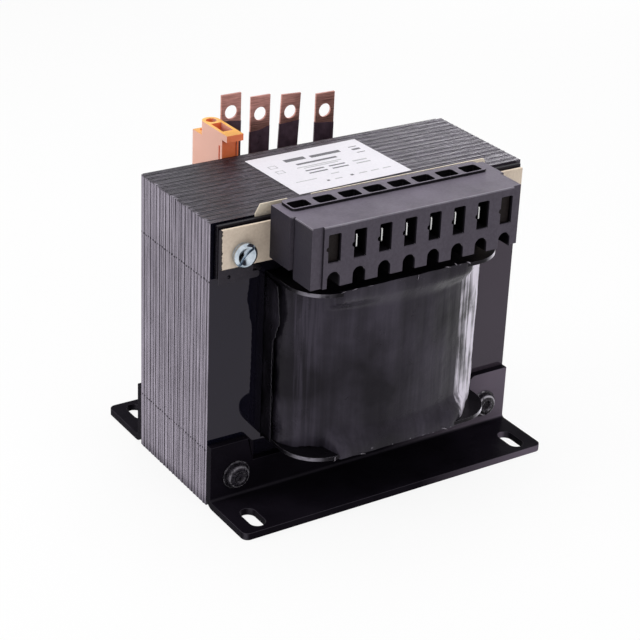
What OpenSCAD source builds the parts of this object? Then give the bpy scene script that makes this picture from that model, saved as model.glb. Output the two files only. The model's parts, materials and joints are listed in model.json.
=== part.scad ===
// Laminated chassis transformer: an interleaved E-I core on two feet, a wound bobbin
// through its windows, a moulded push-on terminal block in front, and four copper
// output bars with one screw terminal at the back.
// Millimetres. X runs along the front, Y to the back, Z up. The origin is the centre
// of the core on the surface that the feet stand on.

/* [Core] */
// Width of one lamination
core_w = 150; // [146:1:156]
// Height of the core, from the bottom yoke to the top yoke
core_h = 125; // [122:1:130]
// Depth of the whole stack
stack_d = 57; // [53:1:61]
// Height of each yoke, which is the width of an I lamination
yoke_h = 25; // [24:0.5:25.5]
// Nominal thickness of one interleaved layer
layer_t = 1; // [0.9:0.1:2]
// Air between neighbouring layers
layer_gap = 0.04; // [0.02:0.01:0.08]
// How far a layer may lie out of line with the next
layer_jog = 0.12; // [0:0.02:0.16]
// Diameter of the holes at the four corners of the laminations
core_hole_d = 8; // [7.8:0.1:8.6]
// Distance of a corner hole from the side of the core
hole_inset_x = 12; // [11:0.5:12.5]
// Distance of a corner hole from the top or bottom of the core
hole_inset_z = 13; // [12:0.5:14]

/* [Coil] */
// Air between the centre limb and the bobbin tube
bobbin_clear = 0.4; // [0.3:0.1:0.6]
// Wall of the bobbin tube
bobbin_wall = 1.6; // [1.2:0.2:2.2]
// Thickness of each bobbin flange
flange_t = 1.6; // [1.2:0.2:2]
// Corner radius of the flanges
flange_corner_r = 17; // [14:0.5:18]
// How far a flange stands out past the coil's front and back
flange_lip = 1.4; // [1:0.1:1.7]
// Air between a flange and the yoke
flange_clear = 0.4; // [0.3:0.1:0.6]
// How far the coil stands out of the core, front and back
coil_reach = 29.5; // [28:0.5:30]
// Air between the coil and the outer limbs
coil_clear = 1; // [0.9:0.1:1.4]
// Radius of the coil's vertical corners
coil_corner_r = 14; // [12:0.5:15]
// How far the coil's sides run straight out of the core
coil_flank = 6; // [4:0.5:7]
// Thickness of the black outer film
wrap_t = 0.8; // [0.6:0.1:1.2]
// Share of the windings' build that the secondary takes
secondary_share = 0.62; // [0.58:0.01:0.64]
// Thickness of the insulation between the two windings
interlayer_t = 0.8; // [0.5:0.1:1.2]
// Air between neighbouring layers of the coil and under the flanges
coil_gap = 0.2; // [0.15:0.05:0.25]
// Thickness of the film that lines each window
liner_t = 0.3; // [0.2:0.05:0.35]
// How far the window film stands out of the core
liner_reach = 7; // [5:1:8]

/* [Mounting brackets] */
// Thickness of the bracket sheet
bracket_t = 3.2; // [2.5:0.1:3.5]
// Inside radius of the bend
bend_r = 1.5; // [1:0.5:2.5]
// How far a foot stands out from the core
foot_reach = 31.3; // [30:0.1:33]
// Width of each ear of a bracket
ear_w = 20; // [18:1:22]
// Height of the ears
ear_h = 28; // [26:1:30]
// Height of the web between the ears
web_h = 17.5; // [16:0.5:19]
// Radius of the bracket's outer corners
bracket_corner_r = 3; // [2:0.5:4]
// Width of a mounting slot
slot_w = 6.8; // [6:0.2:7.4]
// Overall length of a mounting slot, which runs away from the core
slot_l = 14; // [12:0.5:15]
// Distance of a slot's centre from the side of the core
slot_inset = 9.5; // [9:0.5:11]
// Distance of a slot's centre from the front or back of the core
slot_out = 21.25; // [20.5:0.25:22]

/* [Core bolts] */
// Diameter of the bolts through the lower corners
bolt_d = 6; // [5:0.5:6]
// Outer diameter of their washers
bolt_washer_d = 12.4; // [12:0.2:14]
// Thickness of their washers
bolt_washer_t = 0.8; // [0.8:0.1:1.2]
// Outer diameter of the split lock washers
lock_washer_d = 10.4; // [10:0.2:11]
// Thickness of the split lock washers
lock_washer_t = 1.5; // [1:0.1:2]
// Diameter of the bolt heads
bolt_head_d = 10.6; // [10:0.2:12]
// Height of the bolt heads
bolt_head_h = 2.8; // [2.4:0.1:3.4]
// Width across the flats of the nuts
nut_af = 10; // [9:0.5:11]
// Height of the nuts
nut_h = 5; // [4:0.5:6]
// Bolt thread that shows past a nut
thread_end = 1.6; // [1:0.2:3]
// Wall of the insulating sleeve round each bolt
sleeve_wall = 0.6; // [0.4:0.1:0.7]
// Air between a sleeve and the core's hole
sleeve_clear = 0.2; // [0.2:0.05:0.3]

/* [Terminal board] */
// Thickness of the insulating sheet behind the front strap
barrier_t = 0.5; // [0.4:0.1:0.8]
// Distance of the sheet's raised part from the side of the core
barrier_inset = 19.5; // [17:0.5:21]
// Height of the sheet's raised part above the core
barrier_rise = 4.4; // [3.5:0.1:5]
// Thickness of the upper straps, front and back
strap_t = 2; // [1.6:0.2:2]
// How far a strap stops short of the core's side
strap_inset = 1.7; // [1:0.1:2.5]
// Height of the straps' top edge below the core's top
strap_drop = 0.5; // [0.3:0.1:1]
// Height of a strap at its ears
strap_ear_h = 22.3; // [21:0.1:23]
// Height of a strap between its ears
strap_web_h = 16.5; // [15.5:0.5:18]
// Thickness of the moulded carrier between strap and board
carrier_t = 0.9; // [0.7:0.1:1.2]
// How far the carrier's lower edge lies below the core's top
carrier_drop = 24.9; // [24:0.1:26]
// Thickness of the beige terminal board
board_t = 1.2; // [1:0.1:1.6]
// How far the terminal board stops short of the core's side
board_inset = 2.2; // [2:0.1:4]
// Height of the board
board_h = 16.7; // [16:0.1:18]
// How far the board's top lies below the core's top
board_drop = 1.6; // [1.2:0.1:2]

/* [Terminal block] */
// Number of terminal positions
pole_count = 8; // [6:1:8]
// How far the row of terminals lies right of the block's centre
row_shift = 1.2; // [0.8:0.1:1.3]
// Distance of the block's front part from the axis of a terminal screw
block_inset = 13.5; // [13:0.1:14.5]
// How far the base stands out past each end of the front part
block_step = 1.5; // [1:0.1:2]
// Width of the front part beyond the row of terminals, at each end
block_end = 2.7; // [2.4:0.1:3.2]
// Depth of the whole block in front of the board
block_d = 28.5; // [28.3:0.1:28.5]
// Depth of the block's wider base
base_d = 14.2; // [13:0.1:15]
// Height of the block's top above the core
block_rise = 5; // [4.5:0.1:5.5]
// Height of the block's front part
block_h = 25.6; // [25:0.1:26]
// Height of the base
base_h = 22; // [21:0.5:22]
// Depth of the sunk columns at both ends of the front
end_sink = 1; // [0.6:0.1:1.4]
// Width of the sunk columns
end_col_w = 4.5; // [4:0.5:5.5]
// Width of a terminal window
window_w = 5.7; // [5.4:0.1:5.8]
// Height of a terminal window
window_h = 12.1; // [11.5:0.1:12.4]
// Corner radius of a terminal window and of the insert that fills it
window_r = 0.6; // [0.4:0.1:0.8]
// Distance from the block's top to a window
window_drop = 3.4; // [3.2:0.1:3.8]
// Wall between a terminal window and the base
window_wall = 0.8; // [0.6:0.1:1.4]
// Radius of the half-round relief in a window's side
relief_r = 1.1; // [0.9:0.1:1.3]
// Width of a wire arch
arch_w = 5.9; // [5.6:0.1:6]
// Height of a wire arch
arch_h = 6.5; // [6:0.1:6.8]
// Depth of a wire arch
arch_d = 12; // [11:0.5:12.5]
// Height of the raised rim on top
rim_h = 1.2; // [0.8:0.1:1.5]
// How far the raised rim stops short of the base's ends
rim_inset = 4.3; // [4:0.1:4.5]
// Depth of the raised rim, front to back
rim_d = 9.7; // [9.4:0.1:9.9]
// Width of a pocket in the rim
pocket_w = 8.6; // [8:0.1:8.8]
// Depth of a pocket, front to back
pocket_l = 6.2; // [5.8:0.1:6.4]
// How deep a pocket goes down
pocket_deep = 11; // [9:0.5:12]
// Thickness of a push-on tab
tab_t = 0.8; // [0.8:0.1:1]
// Width of a push-on tab
tab_w = 6.35; // [6.2:0.05:6.4]
// How far a tab lies behind the block's front
tab_recess = 2.5; // [2.2:0.1:3.4]
// Length of a tab
tab_l = 15.5; // [15:0.1:15.6]
// Diameter of a primary lead
lead_d = 2.2; // [1.8:0.1:2.4]

/* [Terminal screws] */
// Diameter of the upper screws
screw_d = 4.8; // [4:0.2:5]
// Diameter of their heads
screw_head_d = 10.4; // [9.5:0.1:11]
// Height of their heads
screw_head_h = 2.6; // [2.2:0.1:3.2]
// Outer diameter of their washers
screw_washer_d = 10.8; // [10.6:0.1:12]
// Thickness of their washers
screw_washer_t = 0.6; // [0.5:0.1:1]
// Width of the driver slot
driver_slot_w = 1.4; // [1.2:0.1:1.8]
// Depth of the driver slot
driver_slot_d = 1.4; // [1:0.1:1.6]

/* [Output bars] */
// Width of a copper bar
bar_w = 9.6; // [9:0.1:10]
// Thickness of a copper bar
bar_t = 1; // [1:0.1:1.5]
// Diameter of the hole in a bar
bar_hole_d = 6; // [5:0.1:6.5]
// Distance of the hole from the bar's top
bar_hole_drop = 8.1; // [7:0.1:9]
// How far the bars stand behind the core
bar_row = 18.9; // [18.6:0.1:19.1]
// Places of the bars, left to right
bar_x = [-22.5, -8.3, 5.5, 24.8];
// Heights of the bars' tops above the core
bar_rise = [20.6, 17.6, 16.2, 14];
// Heights of the sleeves' tops above the core
sleeve_rise = [8.6, 2.6, 3.4, 0.2];
// Slope of each sleeve's cut end, in degrees
sleeve_cut = [-4, 9, 1, -6];
// Sideways lean of each bar, in degrees
bar_lean = [0, 0.4, 2.6, 0.3];
// How deep a bar goes into the winding
bar_depth = 20; // [15:1:25]
// Wall of the shrink sleeve on a bar
sleeve_t = 0.2; // [0.15:0.05:0.35]

/* [Rear screw terminal] */
// Width of the orange terminal block
rear_w = 7.9; // [7.5:0.1:8]
// Distance of its left side from the core's centre
rear_x = 36.2; // [36:0.1:38]
// Depth of its body, front to back
rear_d = 25; // [24:0.5:26]
// Height of its top above the core
rear_rise = 10.5; // [9:0.5:12]
// Height of its low rear part below the top
rear_low = 6.2; // [5:0.2:7]
// How far its front lip stands out
lip_reach = 3.9; // [3:0.1:4]
// Thickness of its front lip
lip_t = 2.9; // [2.4:0.1:3.4]
// Depth of the panel sunk in its front
panel_sink = 0.8; // [0.5:0.1:1.2]
// Width of the opening in its top
entry_w = 4.9; // [4.6:0.1:5]
// Length of the opening in its top
entry_l = 10.2; // [9.5:0.1:10.6]
// Depth of the opening in its top
entry_deep = 9; // [8:0.5:10]
// Diameter of the screw funnel
funnel_d = 4.6; // [4.4:0.1:5.2]
// Thickness of the ledge that carries it
ledge_t = 2; // [1.6:0.2:2]
// Width of that ledge
ledge_w = 15; // [13:0.5:15]

/* [Rating label] */
// Length of the label on the top
label_l = 55.5; // [54:0.5:60]
// Depth of the label
label_d = 41.3; // [38:0.1:43]
// Thickness of the label
label_t = 0.15; // [0.1:0.05:0.25]
// Turn of the label, in degrees
label_turn = 1.5; // [0:0.1:3]

/* [Hidden] */

$fn = 48;
cut = 1;   // how far a cutting shape runs past a face
seat = 0.1; // clearance of a piece that is seated in a pocket

// Core
half_w = core_w / 2;
half_d = stack_d / 2;
tongue_w = core_w / 3; // the centre limb is twice as wide as an outer one
leg_w = core_w / 6;
layer_n = round(stack_d / layer_t);
layer_pitch = stack_d / layer_n;
hole_x = half_w - hole_inset_x;
hole_z_low = hole_inset_z;
hole_z_top = core_h - hole_inset_z;

// Coil
leg_in = half_w - leg_w;
tube_in_x = tongue_w / 2 + bobbin_clear;
tube_in_y = half_d + bobbin_clear;
tube_out_x = tube_in_x + bobbin_wall;
tube_out_y = tube_in_y + bobbin_wall;
coil_half_w = leg_in - coil_clear;
flange_z0 = yoke_h + layer_jog + flange_clear;
flange_z1 = core_h - yoke_h - flange_clear;
wind_z0 = flange_z0 + flange_t + coil_gap;
wind_z1 = flange_z1 - flange_t - coil_gap;
secondary_in = wrap_t + coil_gap;
build_t = coil_half_w - tube_out_x - wrap_t - interlayer_t - 4 * coil_gap;
secondary_t = secondary_share * build_t;
interlayer_in = secondary_in + secondary_t + coil_gap;
primary_in = interlayer_in + interlayer_t + coil_gap;
// Each winding's front is one wide arc that runs all but tangent into its two corner
// arcs. These give the corner's radius and centre, and the front's radius, centre and
// half width, at a depth i.
function corner_r(i) = max(coil_corner_r - i, 2);
function corner_x(i) = coil_half_w - i - corner_r(i);
function corner_y(i) = half_d + coil_flank - i - corner_r(i) + coil_corner_r;
function crown(i) = half_d + coil_reach - i - corner_y(i);
function blend_r(i) = corner_r(i) - 0.02;
function front_r(i) = (pow(corner_x(i), 2) + pow(crown(i), 2) - pow(blend_r(i), 2))
    / (2 * (crown(i) - blend_r(i)));
function front_y(i) = half_d + coil_reach - i - front_r(i);
function front_x(i) = corner_x(i) * front_r(i) / (front_r(i) - blend_r(i));

// Front stack, from the core's face outwards
strap_y = half_d + barrier_t;
carrier_y = strap_y + strap_t;
board_y = carrier_y + carrier_t;
block_y = board_y + board_t;
block_front = block_y + block_d;
strap_top = core_h - strap_drop;
strap_half_w = half_w - strap_inset;
board_top = core_h - board_drop;
board_half_w = half_w - board_inset;
carrier_z = core_h - carrier_drop;
barrier_half_w = half_w - barrier_inset;
barrier_top = core_h + barrier_rise;
block_top = core_h + block_rise;
block_half_w = hole_x - block_inset;
base_half_w = block_half_w + block_step;
joint_y = block_y + base_d;
pole_pitch = 2 * (block_half_w - block_end) / pole_count;
pole_x0 = row_shift - (pole_count - 1) / 2 * pole_pitch;
front_mid_w = 2 * (block_half_w - end_col_w);
window_d = block_d - base_d - window_wall;
window_z1 = block_top - window_drop;
window_z0 = window_z1 - window_h;
block_z0 = block_top - block_h;
tab_z = (window_z0 + window_z1) / 2;
tab_tip = block_front - tab_recess;
insert_sink = 2; // how far a blank insert lies behind the front
tab_end = tab_tip - tab_l;
base_z0 = block_top - base_h;
rim_half_l = base_half_w - rim_inset;
rim_x = -0.6;    // middle of the rim, off the block's centre
pocket_x = -1.3; // middle of the row of pockets
rim_y = block_y + 0.3; // the rim all but reaches the board
pocket_y = rim_y + rim_d - pocket_l - 0.7;
lead_y = tab_end + lead_d / 2;
screw_head_y = block_y + screw_washer_t;

// Barrier sheet and carrier
sheet_x = strap_half_w - 1;
sheet_z0 = strap_top - strap_web_h;
sheet_z1 = strap_top - 1;
sheet_cut_x = 2.2;
sheet_cut_z = 3.7;
notch_x = 14.5;
notch_w = 11;
notch_h = 3;
carrier_ear_w = 15.2;
carrier_tongue_l = 18.2;
carrier_tongue_h = 2.9;
carrier_hole_d = 1.6;
carrier_hole_x = 4.4; // from the carrier's end
carrier_hole_z = 2.6; // from its lower edge

// Feet
slot_pitch_x = core_w - 2 * slot_inset;
slot_pitch_y = stack_d + 2 * slot_out;

// Bolts and nuts
bolt_seat = half_d + bracket_t + bolt_washer_t;
sleeve_od = core_hole_d - 2 * sleeve_clear;
sleeve_id = sleeve_od - 2 * sleeve_wall;
bolt_end = bolt_seat + lock_washer_t + nut_h + thread_end;
dimple_d = 4.4;
screw_nut_y = half_d + strap_t + screw_washer_t;
screw_nut_h = 4;
screw_nut_af = 8;
screw_end = screw_nut_y + screw_nut_h + thread_end;

// Centre of the label on the top
label_x = -2;
label_y = 2;

// Back
bar_y = half_d + bar_row;
bar_foot = wind_z1; // a bar comes out of the winding here
ledge_z1 = strap_top - strap_web_h;
rear_top = core_h + rear_rise;
rear_y0 = half_d + strap_t + seat;
rear_y1 = rear_y0 + rear_d;
rear_cx = -rear_x + rear_w / 2;
tower_y = rear_y0 + 16.2;  // axis of the screw funnel
ledge_x0 = -rear_x - 6.5;  // left end of the ledge
sleeve_fit = 0.02;         // air between a sleeve and its bar
entry_gap = 4;             // from that axis to the wire entry
entry_y = tower_y - entry_gap - entry_l;
clamp_h = 3;
funnel_deep = 6;
clamp_screw_h = 2.4;
fixing_d = 2.4;
fixing_up = 8;             // how far the fixing screw goes into the block
fixing_head_d = 5.4;
fixing_head_h = 2;
panel_edge = 0.7;          // frame round the sunk panel
panel_foot = 3;            // height of the frame under it
groove_y = 1.6;            // a groove down each side, behind the front
groove_w = 1.2;
groove_deep = 0.5;
groove_drop = 5;           // how far below the top it starts
peg_d = 3.2;               // round recess in the low rear part
peg_deep = 1;
peg_back = 2.6;

// ---- shapes ----

// A plate in the X-Z plane that spans y0 to y0 + t
module plate_y(y0, t)
    translate([0, y0 + t, 0]) rotate([90, 0, 0]) linear_extrude(t) children();

// A profile in the Y-Z plane, run along X from x0
module run_x(x0, l)
    translate([x0, 0, 0]) rotate([90, 0, 90]) linear_extrude(l) children();

// A round bar along Y from y0
module rod_y(x, z, y0, l, d)
    translate([x, y0 + l, z]) rotate([90, 0, 0]) cylinder(d = d, h = l);

// A rectangle with round corners, its lower left corner at the origin
module rounded(w, h, r) {
    translate([r, 0]) square([w - 2 * r, h]);
    translate([0, r]) square([w, h - 2 * r]);
    for (x = [r, w - r], y = [r, h - r])
        translate([x, y]) circle(r);
}

// A slot along Y, centred on the origin
module slot_shape(w, l) {
    square([w, l - w], center = true);
    for (y = [w - l, l - w]) translate([0, y / 2]) circle(d = w);
}

// Stands children at both sides, at the given heights
module at_corners(zs)
    for (x = [-hole_x, hole_x], z = zs)
        translate([x, 0, z]) children();

// ---- core ----

function jog_x(i) = layer_jog * sin(i * 137.5);
function jog_z(i) = layer_jog * (1 + cos(i * 97)) / 2;

// The E shape with its yoke at the bottom
module e_shape()
    difference() {
        translate([-half_w, 0]) square([core_w, core_h - yoke_h]);
        for (s = [-1, 1])
            translate([s < 0 ? -leg_in : tongue_w / 2, yoke_h])
                square([leg_in - tongue_w / 2, core_h]);
        for (x = [-hole_x, hole_x])
            translate([x, hole_z_low]) circle(d = core_hole_d);
    }

// The I shape that closes the E
module i_shape()
    difference() {
        translate([-half_w, core_h - yoke_h]) square([core_w, yoke_h]);
        for (x = [-hole_x, hole_x])
            translate([x, hole_z_top]) circle(d = core_hole_d);
    }

// Every second layer, starting with layer n; odd layers are turned upside down
module layers(n)
    for (i = [n : 2 : layer_n - 1])
        translate([jog_x(i), 0, jog_z(i) + n * core_h])
            plate_y(-half_d + i * layer_pitch, layer_pitch - layer_gap)
                mirror([0, n]) children();

module e_laminations_up() color("dimgray") layers(0) e_shape();
module i_laminations_top() color("gray") layers(0) i_shape();
module e_laminations_down() color("slategray") layers(1) e_shape();
module i_laminations_bottom() color("gray") layers(1) i_shape();

// ---- coil ----

// Plan of the coil, a given distance i inside its outer surface
module coil_plan(i) {
    square([2 * (coil_half_w - i), 2 * corner_y(i)], center = true);
    for (s = [-1, 1]) {
        for (x = [-corner_x(i), corner_x(i)])
            translate([x, s * corner_y(i)]) circle(corner_r(i), $fn = 96);
        intersection() {
            translate([0, s * front_y(i)]) circle(front_r(i), $fn = 180);
            translate([-front_x(i), s < 0 ? -core_w : 0]) square([2 * front_x(i), core_w]);
        }
    }
}

module wound_ring(outer, inner)
    translate([0, 0, wind_z0]) linear_extrude(wind_z1 - wind_z0)
        difference() {
            coil_plan(outer);
            coil_plan(inner);
        }

module flange_plan()
    translate([-coil_half_w, -half_d - coil_reach - flange_lip])
        rounded(2 * coil_half_w, stack_d + 2 * (coil_reach + flange_lip), flange_corner_r);

// The slots in the upper flange and winding that the bars stand in
module bar_slots(extra)
    for (i = [0 : len(bar_x) - 1])
        at_bar(i) translate([-bar_w / 2 - extra, -bar_t / 2 - extra, -bar_depth - extra])
            cube([bar_w + 2 * extra, bar_t + 2 * extra, 2 * bar_depth]);

module lead_holes(extra)
    for (i = [1 : pole_count - 2])
        translate([pole_x0 + i * pole_pitch, -lead_y, wind_z1 - cut])
            cylinder(d = lead_d + 2 * extra, h = base_z0 - wind_z1 + cut, $fn = 24);

module bobbin()
    color("#1b1b1e") difference() {
        union() {
            for (z = [flange_z0, flange_z1 - flange_t])
                translate([0, 0, z]) linear_extrude(flange_t) flange_plan();
            translate([-tube_out_x, -tube_out_y, flange_z0])
                cube([2 * tube_out_x, 2 * tube_out_y, flange_z1 - flange_z0]);
        }
        translate([-tube_in_x, -tube_in_y, 0]) cube([2 * tube_in_x, 2 * tube_in_y, core_h]);
        bar_slots(sleeve_t + seat);
        lead_holes(seat);
    }

module primary_winding()
    color("#8a4b2a") translate([0, 0, wind_z0]) linear_extrude(wind_z1 - wind_z0)
        difference() {
            coil_plan(primary_in);
            square([2 * (tube_out_x + coil_gap), 2 * (tube_out_y + coil_gap)], center = true);
        }

module interwinding_insulation()
    color("#c9b26a") wound_ring(interlayer_in, interlayer_in + interlayer_t);

module secondary_winding()
    color("#a25a34") difference() {
        wound_ring(secondary_in, secondary_in + secondary_t);
        bar_slots(seat);
    }

module outer_wrap()
    color("#19181c") wound_ring(0, wrap_t);

// Film between the coil and each outer limb
module window_liners()
    color("#121216") for (s = [-1, 1])
        translate([s * (leg_in - coil_clear / 2) - liner_t / 2,
                -half_d - liner_reach, flange_z0 + flange_t + coil_gap])
            cube([liner_t, stack_d + 2 * liner_reach,
                flange_z1 - flange_z0 - 2 * (flange_t + coil_gap)]);

// ---- brackets ----

// Section of a bracket: a flange on the core, a bend and a foot
module bracket_profile() {
    bend_y = half_d + bracket_t + bend_r;
    translate([half_d, bracket_t + bend_r]) square([bracket_t, ear_h - bracket_t - bend_r]);
    translate([bend_y, 0]) square([half_d + foot_reach - bend_y, bracket_t]);
    intersection() {
        translate([bend_y, bracket_t + bend_r]) difference() {
            circle(bracket_t + bend_r);
            circle(bend_r);
        }
        translate([half_d, 0]) square([bracket_t + bend_r, bracket_t + bend_r]);
    }
}

// Front outline of a bracket: a low web between two ears
module bracket_front() {
    for (s = [0, 1]) mirror([s, 0]) translate([-half_w, 0]) {
        translate([0, -ear_h]) square([ear_w, 2 * ear_h - bracket_corner_r]);
        square([ear_w - bracket_corner_r, ear_h]);
        translate([ear_w - bracket_corner_r, ear_h - bracket_corner_r])
            circle(bracket_corner_r);
    }
    translate([-half_w, -ear_h]) square([core_w, ear_h + web_h]);
}

module bracket()
    difference() {
        intersection() {
            run_x(-half_w, core_w) bracket_profile();
            plate_y(half_d - cut, foot_reach + 2 * cut) bracket_front();
            translate([-half_w, half_d - foot_reach, -cut]) linear_extrude(ear_h + 2 * cut)
                rounded(core_w, 2 * foot_reach, bracket_corner_r);
        }
        at_corners([hole_z_low]) rod_y(0, 0, half_d - cut, bracket_t + 2 * cut, bolt_d + 0.6);
        for (x = [-slot_pitch_x / 2, slot_pitch_x / 2])
            translate([x, slot_pitch_y / 2, -cut])
                linear_extrude(bracket_t + 2 * cut) slot_shape(slot_w, slot_l);
    }

module front_bracket() color("#202024") mirror([0, 1, 0]) bracket();
module rear_bracket() color("#202024") bracket();

// ---- fasteners ----

module ring_y(y0, t, od, id)
    plate_y(y0, t) difference() {
        circle(d = od);
        circle(d = id);
    }

module hex_nut_y(y0, h, af, id)
    plate_y(y0, h) difference() {
        circle(d = af / cos(30), $fn = 6);
        circle(d = id);
    }

// A pan head on the -Y side of y0, with its domed face outwards
module pan_head(y0, d, h)
    translate([0, y0, 0]) rotate([90, 0, 0]) rotate_extrude() intersection() {
        square([d / 2, h]);
        translate([0, -d]) circle(d + h, $fn = 180);
        union() {
            square([d / 2 - h / 2, h]);
            square([d / 2, h / 2]);
            translate([d / 2 - h / 2, h / 2]) circle(h / 2);
        }
    }

// Domed heads, each with a shallow dimple in its middle
module core_bolts()
    color("#26262a") at_corners([hole_z_low]) difference() {
        union() {
            pan_head(-bolt_seat, bolt_head_d, bolt_head_h);
            rod_y(0, 0, -bolt_seat, bolt_end + bolt_seat, bolt_d - 0.2);
        }
        translate([0, -bolt_seat - bolt_head_h, 0]) scale([1, 0.5, 1]) sphere(d = dimple_d);
    }

module core_bolt_washers()
    color("#2c2c30") at_corners([hole_z_low]) {
        ring_y(-bolt_seat, bolt_washer_t, bolt_washer_d, bolt_d + 0.4);
        ring_y(bolt_seat - bolt_washer_t, bolt_washer_t, bolt_washer_d, bolt_d + 0.4);
    }

// Split ring under each nut
module core_lock_washers()
    color("#3a3a3e") at_corners([hole_z_low]) difference() {
        ring_y(bolt_seat, lock_washer_t, lock_washer_d, bolt_d + 0.2);
        translate([0, bolt_seat - cut, -0.5])
            cube([lock_washer_d, lock_washer_t + 2 * cut, 0.8]);
    }

module core_nuts()
    color("#3a3a3e") at_corners([hole_z_low])
        hex_nut_y(bolt_seat + lock_washer_t, nut_h, nut_af, bolt_d);

module bolt_sleeves()
    color("#b9a27a") at_corners([hole_z_low, hole_z_top])
        ring_y(-half_d, stack_d, sleeve_od, sleeve_id);

module terminal_screws()
    color("silver") at_corners([hole_z_top]) difference() {
        union() {
            pan_head(-screw_head_y, screw_head_d, screw_head_h);
            rod_y(0, 0, -screw_head_y, screw_end + screw_head_y, screw_d);
        }
        translate([0, -screw_head_y - screw_head_h, 0]) rotate([0, -45, 0])
            cube([screw_head_d + cut, 2 * driver_slot_d, driver_slot_w], center = true);
    }

module terminal_screw_washers()
    color("silver") at_corners([hole_z_top]) {
        ring_y(-screw_head_y, screw_washer_t, screw_washer_d, screw_d + 0.4);
        ring_y(half_d + strap_t, screw_washer_t, screw_washer_d, screw_d + 0.4);
    }

module terminal_nuts()
    color("silver") at_corners([hole_z_top])
        hex_nut_y(screw_nut_y, screw_nut_h, screw_nut_af, screw_d + 0.2);

// ---- front terminal assembly ----

module screw_holes_2d(d)
    for (x = [-hole_x, hole_x])
        translate([x, hole_z_top]) circle(d = d);

// Insulating sheet behind the strap, with a raised part over the core's edge that has
// one cut corner and one shallow notch
module barrier_sheet()
    color("#d8c6a6") plate_y(-half_d - barrier_t, barrier_t) difference() {
        polygon([[-sheet_x, sheet_z0], [-sheet_x, sheet_z1],
            [-barrier_half_w, sheet_z1], [-barrier_half_w, barrier_top - sheet_cut_z],
            [-barrier_half_w + sheet_cut_x, barrier_top], [barrier_half_w - 1, barrier_top],
            [barrier_half_w, barrier_top - 1], [barrier_half_w, sheet_z1],
            [sheet_x, sheet_z1], [sheet_x, sheet_z0]]);
        translate([-barrier_half_w + notch_x, barrier_top - notch_h])
            square([notch_w, notch_h + cut]);
        screw_holes_2d(screw_d + 0.8);
    }

// Strap outline: a web along the top with an ear at each end
module strap_shape()
    difference() {
        union() {
            translate([-strap_half_w, strap_top - strap_web_h])
                square([2 * strap_half_w, strap_web_h]);
            for (x = [-strap_half_w, strap_half_w - ear_w])
                translate([x, strap_top - strap_ear_h]) square([ear_w, strap_ear_h]);
        }
        screw_holes_2d(screw_d + 0.8);
    }

module front_strap()
    color("#17171a") plate_y(-strap_y - strap_t, strap_t) strap_shape();

// Moulded carrier: its ears show below the board, each with a rounded tongue
module terminal_carrier()
    color("#3d3b42") plate_y(-carrier_y - carrier_t, carrier_t) difference() {
        union() {
            translate([-board_half_w, sheet_z0])
                square([2 * board_half_w, board_top - sheet_z0 - 0.4]);
            for (s = [0, 1]) mirror([s, 0]) translate([-board_half_w, carrier_z]) {
                square([carrier_ear_w, sheet_z0 - carrier_z + cut]);
                rounded(carrier_tongue_l, carrier_tongue_h, 1.2);
            }
        }
        screw_holes_2d(screw_d + 0.8);
        for (s = [-1, 1])
            translate([s * (board_half_w - carrier_hole_x), carrier_z + carrier_hole_z])
                circle(d = carrier_hole_d, $fn = 24);
    }

module terminal_board()
    color("#d2bf9e") plate_y(-board_y - board_t, board_t) difference() {
        translate([-board_half_w, board_top - board_h]) square([2 * board_half_w, board_h]);
        screw_holes_2d(screw_d + 0.8);
    }

// Places of the terminal positions first to last
module at_poles(first, last)
    for (i = [first : last])
        translate([pole_x0 + i * pole_pitch, 0, 0]) children();

// One terminal window with its half-round relief, seen from the front
module window_shape() {
    translate([-window_w / 2, window_z0]) rounded(window_w, window_h, window_r);
    translate([-window_w / 2 + 0.2, tab_z]) circle(relief_r, $fn = 24);
}

module arch_shape() {
    translate([-arch_w / 2, block_z0 - cut]) square([arch_w, arch_h - arch_w / 2 + cut]);
    translate([0, block_z0 + arch_h - arch_w / 2]) circle(d = arch_w);
}

// Cuts for the tabs, open towards the front, and for the leads from below
module tab_slots()
    at_poles(1, pole_count - 2) {
        translate([-tab_t / 2 - seat, tab_end - seat, tab_z - tab_w / 2 - seat])
            cube([tab_t + 2 * seat, tab_l, tab_w + 2 * seat]);
        translate([0, lead_y, base_z0 - cut])
            cylinder(d = lead_d + 2 * seat, h = tab_z - base_z0 + cut, $fn = 24);
    }

// Both parts of the block are drawn with their depth along +Y and turned to the front.
// The base carries the tabs and has a raised rim with one pocket behind each position.
module terminal_base()
    color("#4a474f") mirror([0, 1, 0]) difference() {
        union() {
            translate([-base_half_w, block_y, base_z0]) cube([2 * base_half_w, base_d, base_h]);
            translate([rim_x - rim_half_l, rim_y, block_top - cut]) linear_extrude(rim_h + cut)
                rounded(2 * rim_half_l, rim_d, 2);
        }
        at_poles(0, pole_count - 1)
            translate([pocket_x - row_shift - pocket_w / 2, pocket_y,
                    block_top + rim_h - pocket_deep])
                linear_extrude(pocket_deep + cut) rounded(pocket_w, pocket_l, 1.2);
        tab_slots();
    }

// The front part has a window and a wire arch at each position, a raised middle, and a
// groove down each end where it meets the base
module terminal_housing()
    color("#4a474f") mirror([0, 1, 0]) difference() {
        union() {
            translate([-block_half_w, joint_y, block_z0])
                cube([2 * block_half_w, block_d - base_d - end_sink, block_h]);
            translate([row_shift - front_mid_w / 2 - 0.8, joint_y, block_z0])
                cube([front_mid_w, block_d - base_d, block_h]);
        }
        at_poles(0, pole_count - 1) {
            plate_y(block_front - window_d, window_d + cut) window_shape();
            plate_y(block_front - arch_d, arch_d + cut) arch_shape();
        }
        tab_slots();
        for (s = [-1, 1])
            translate([s * block_half_w - 0.5, joint_y - cut, block_z0 - cut])
                cube([1, 1 + cut, block_h + 2 * cut]);
    }

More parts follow.
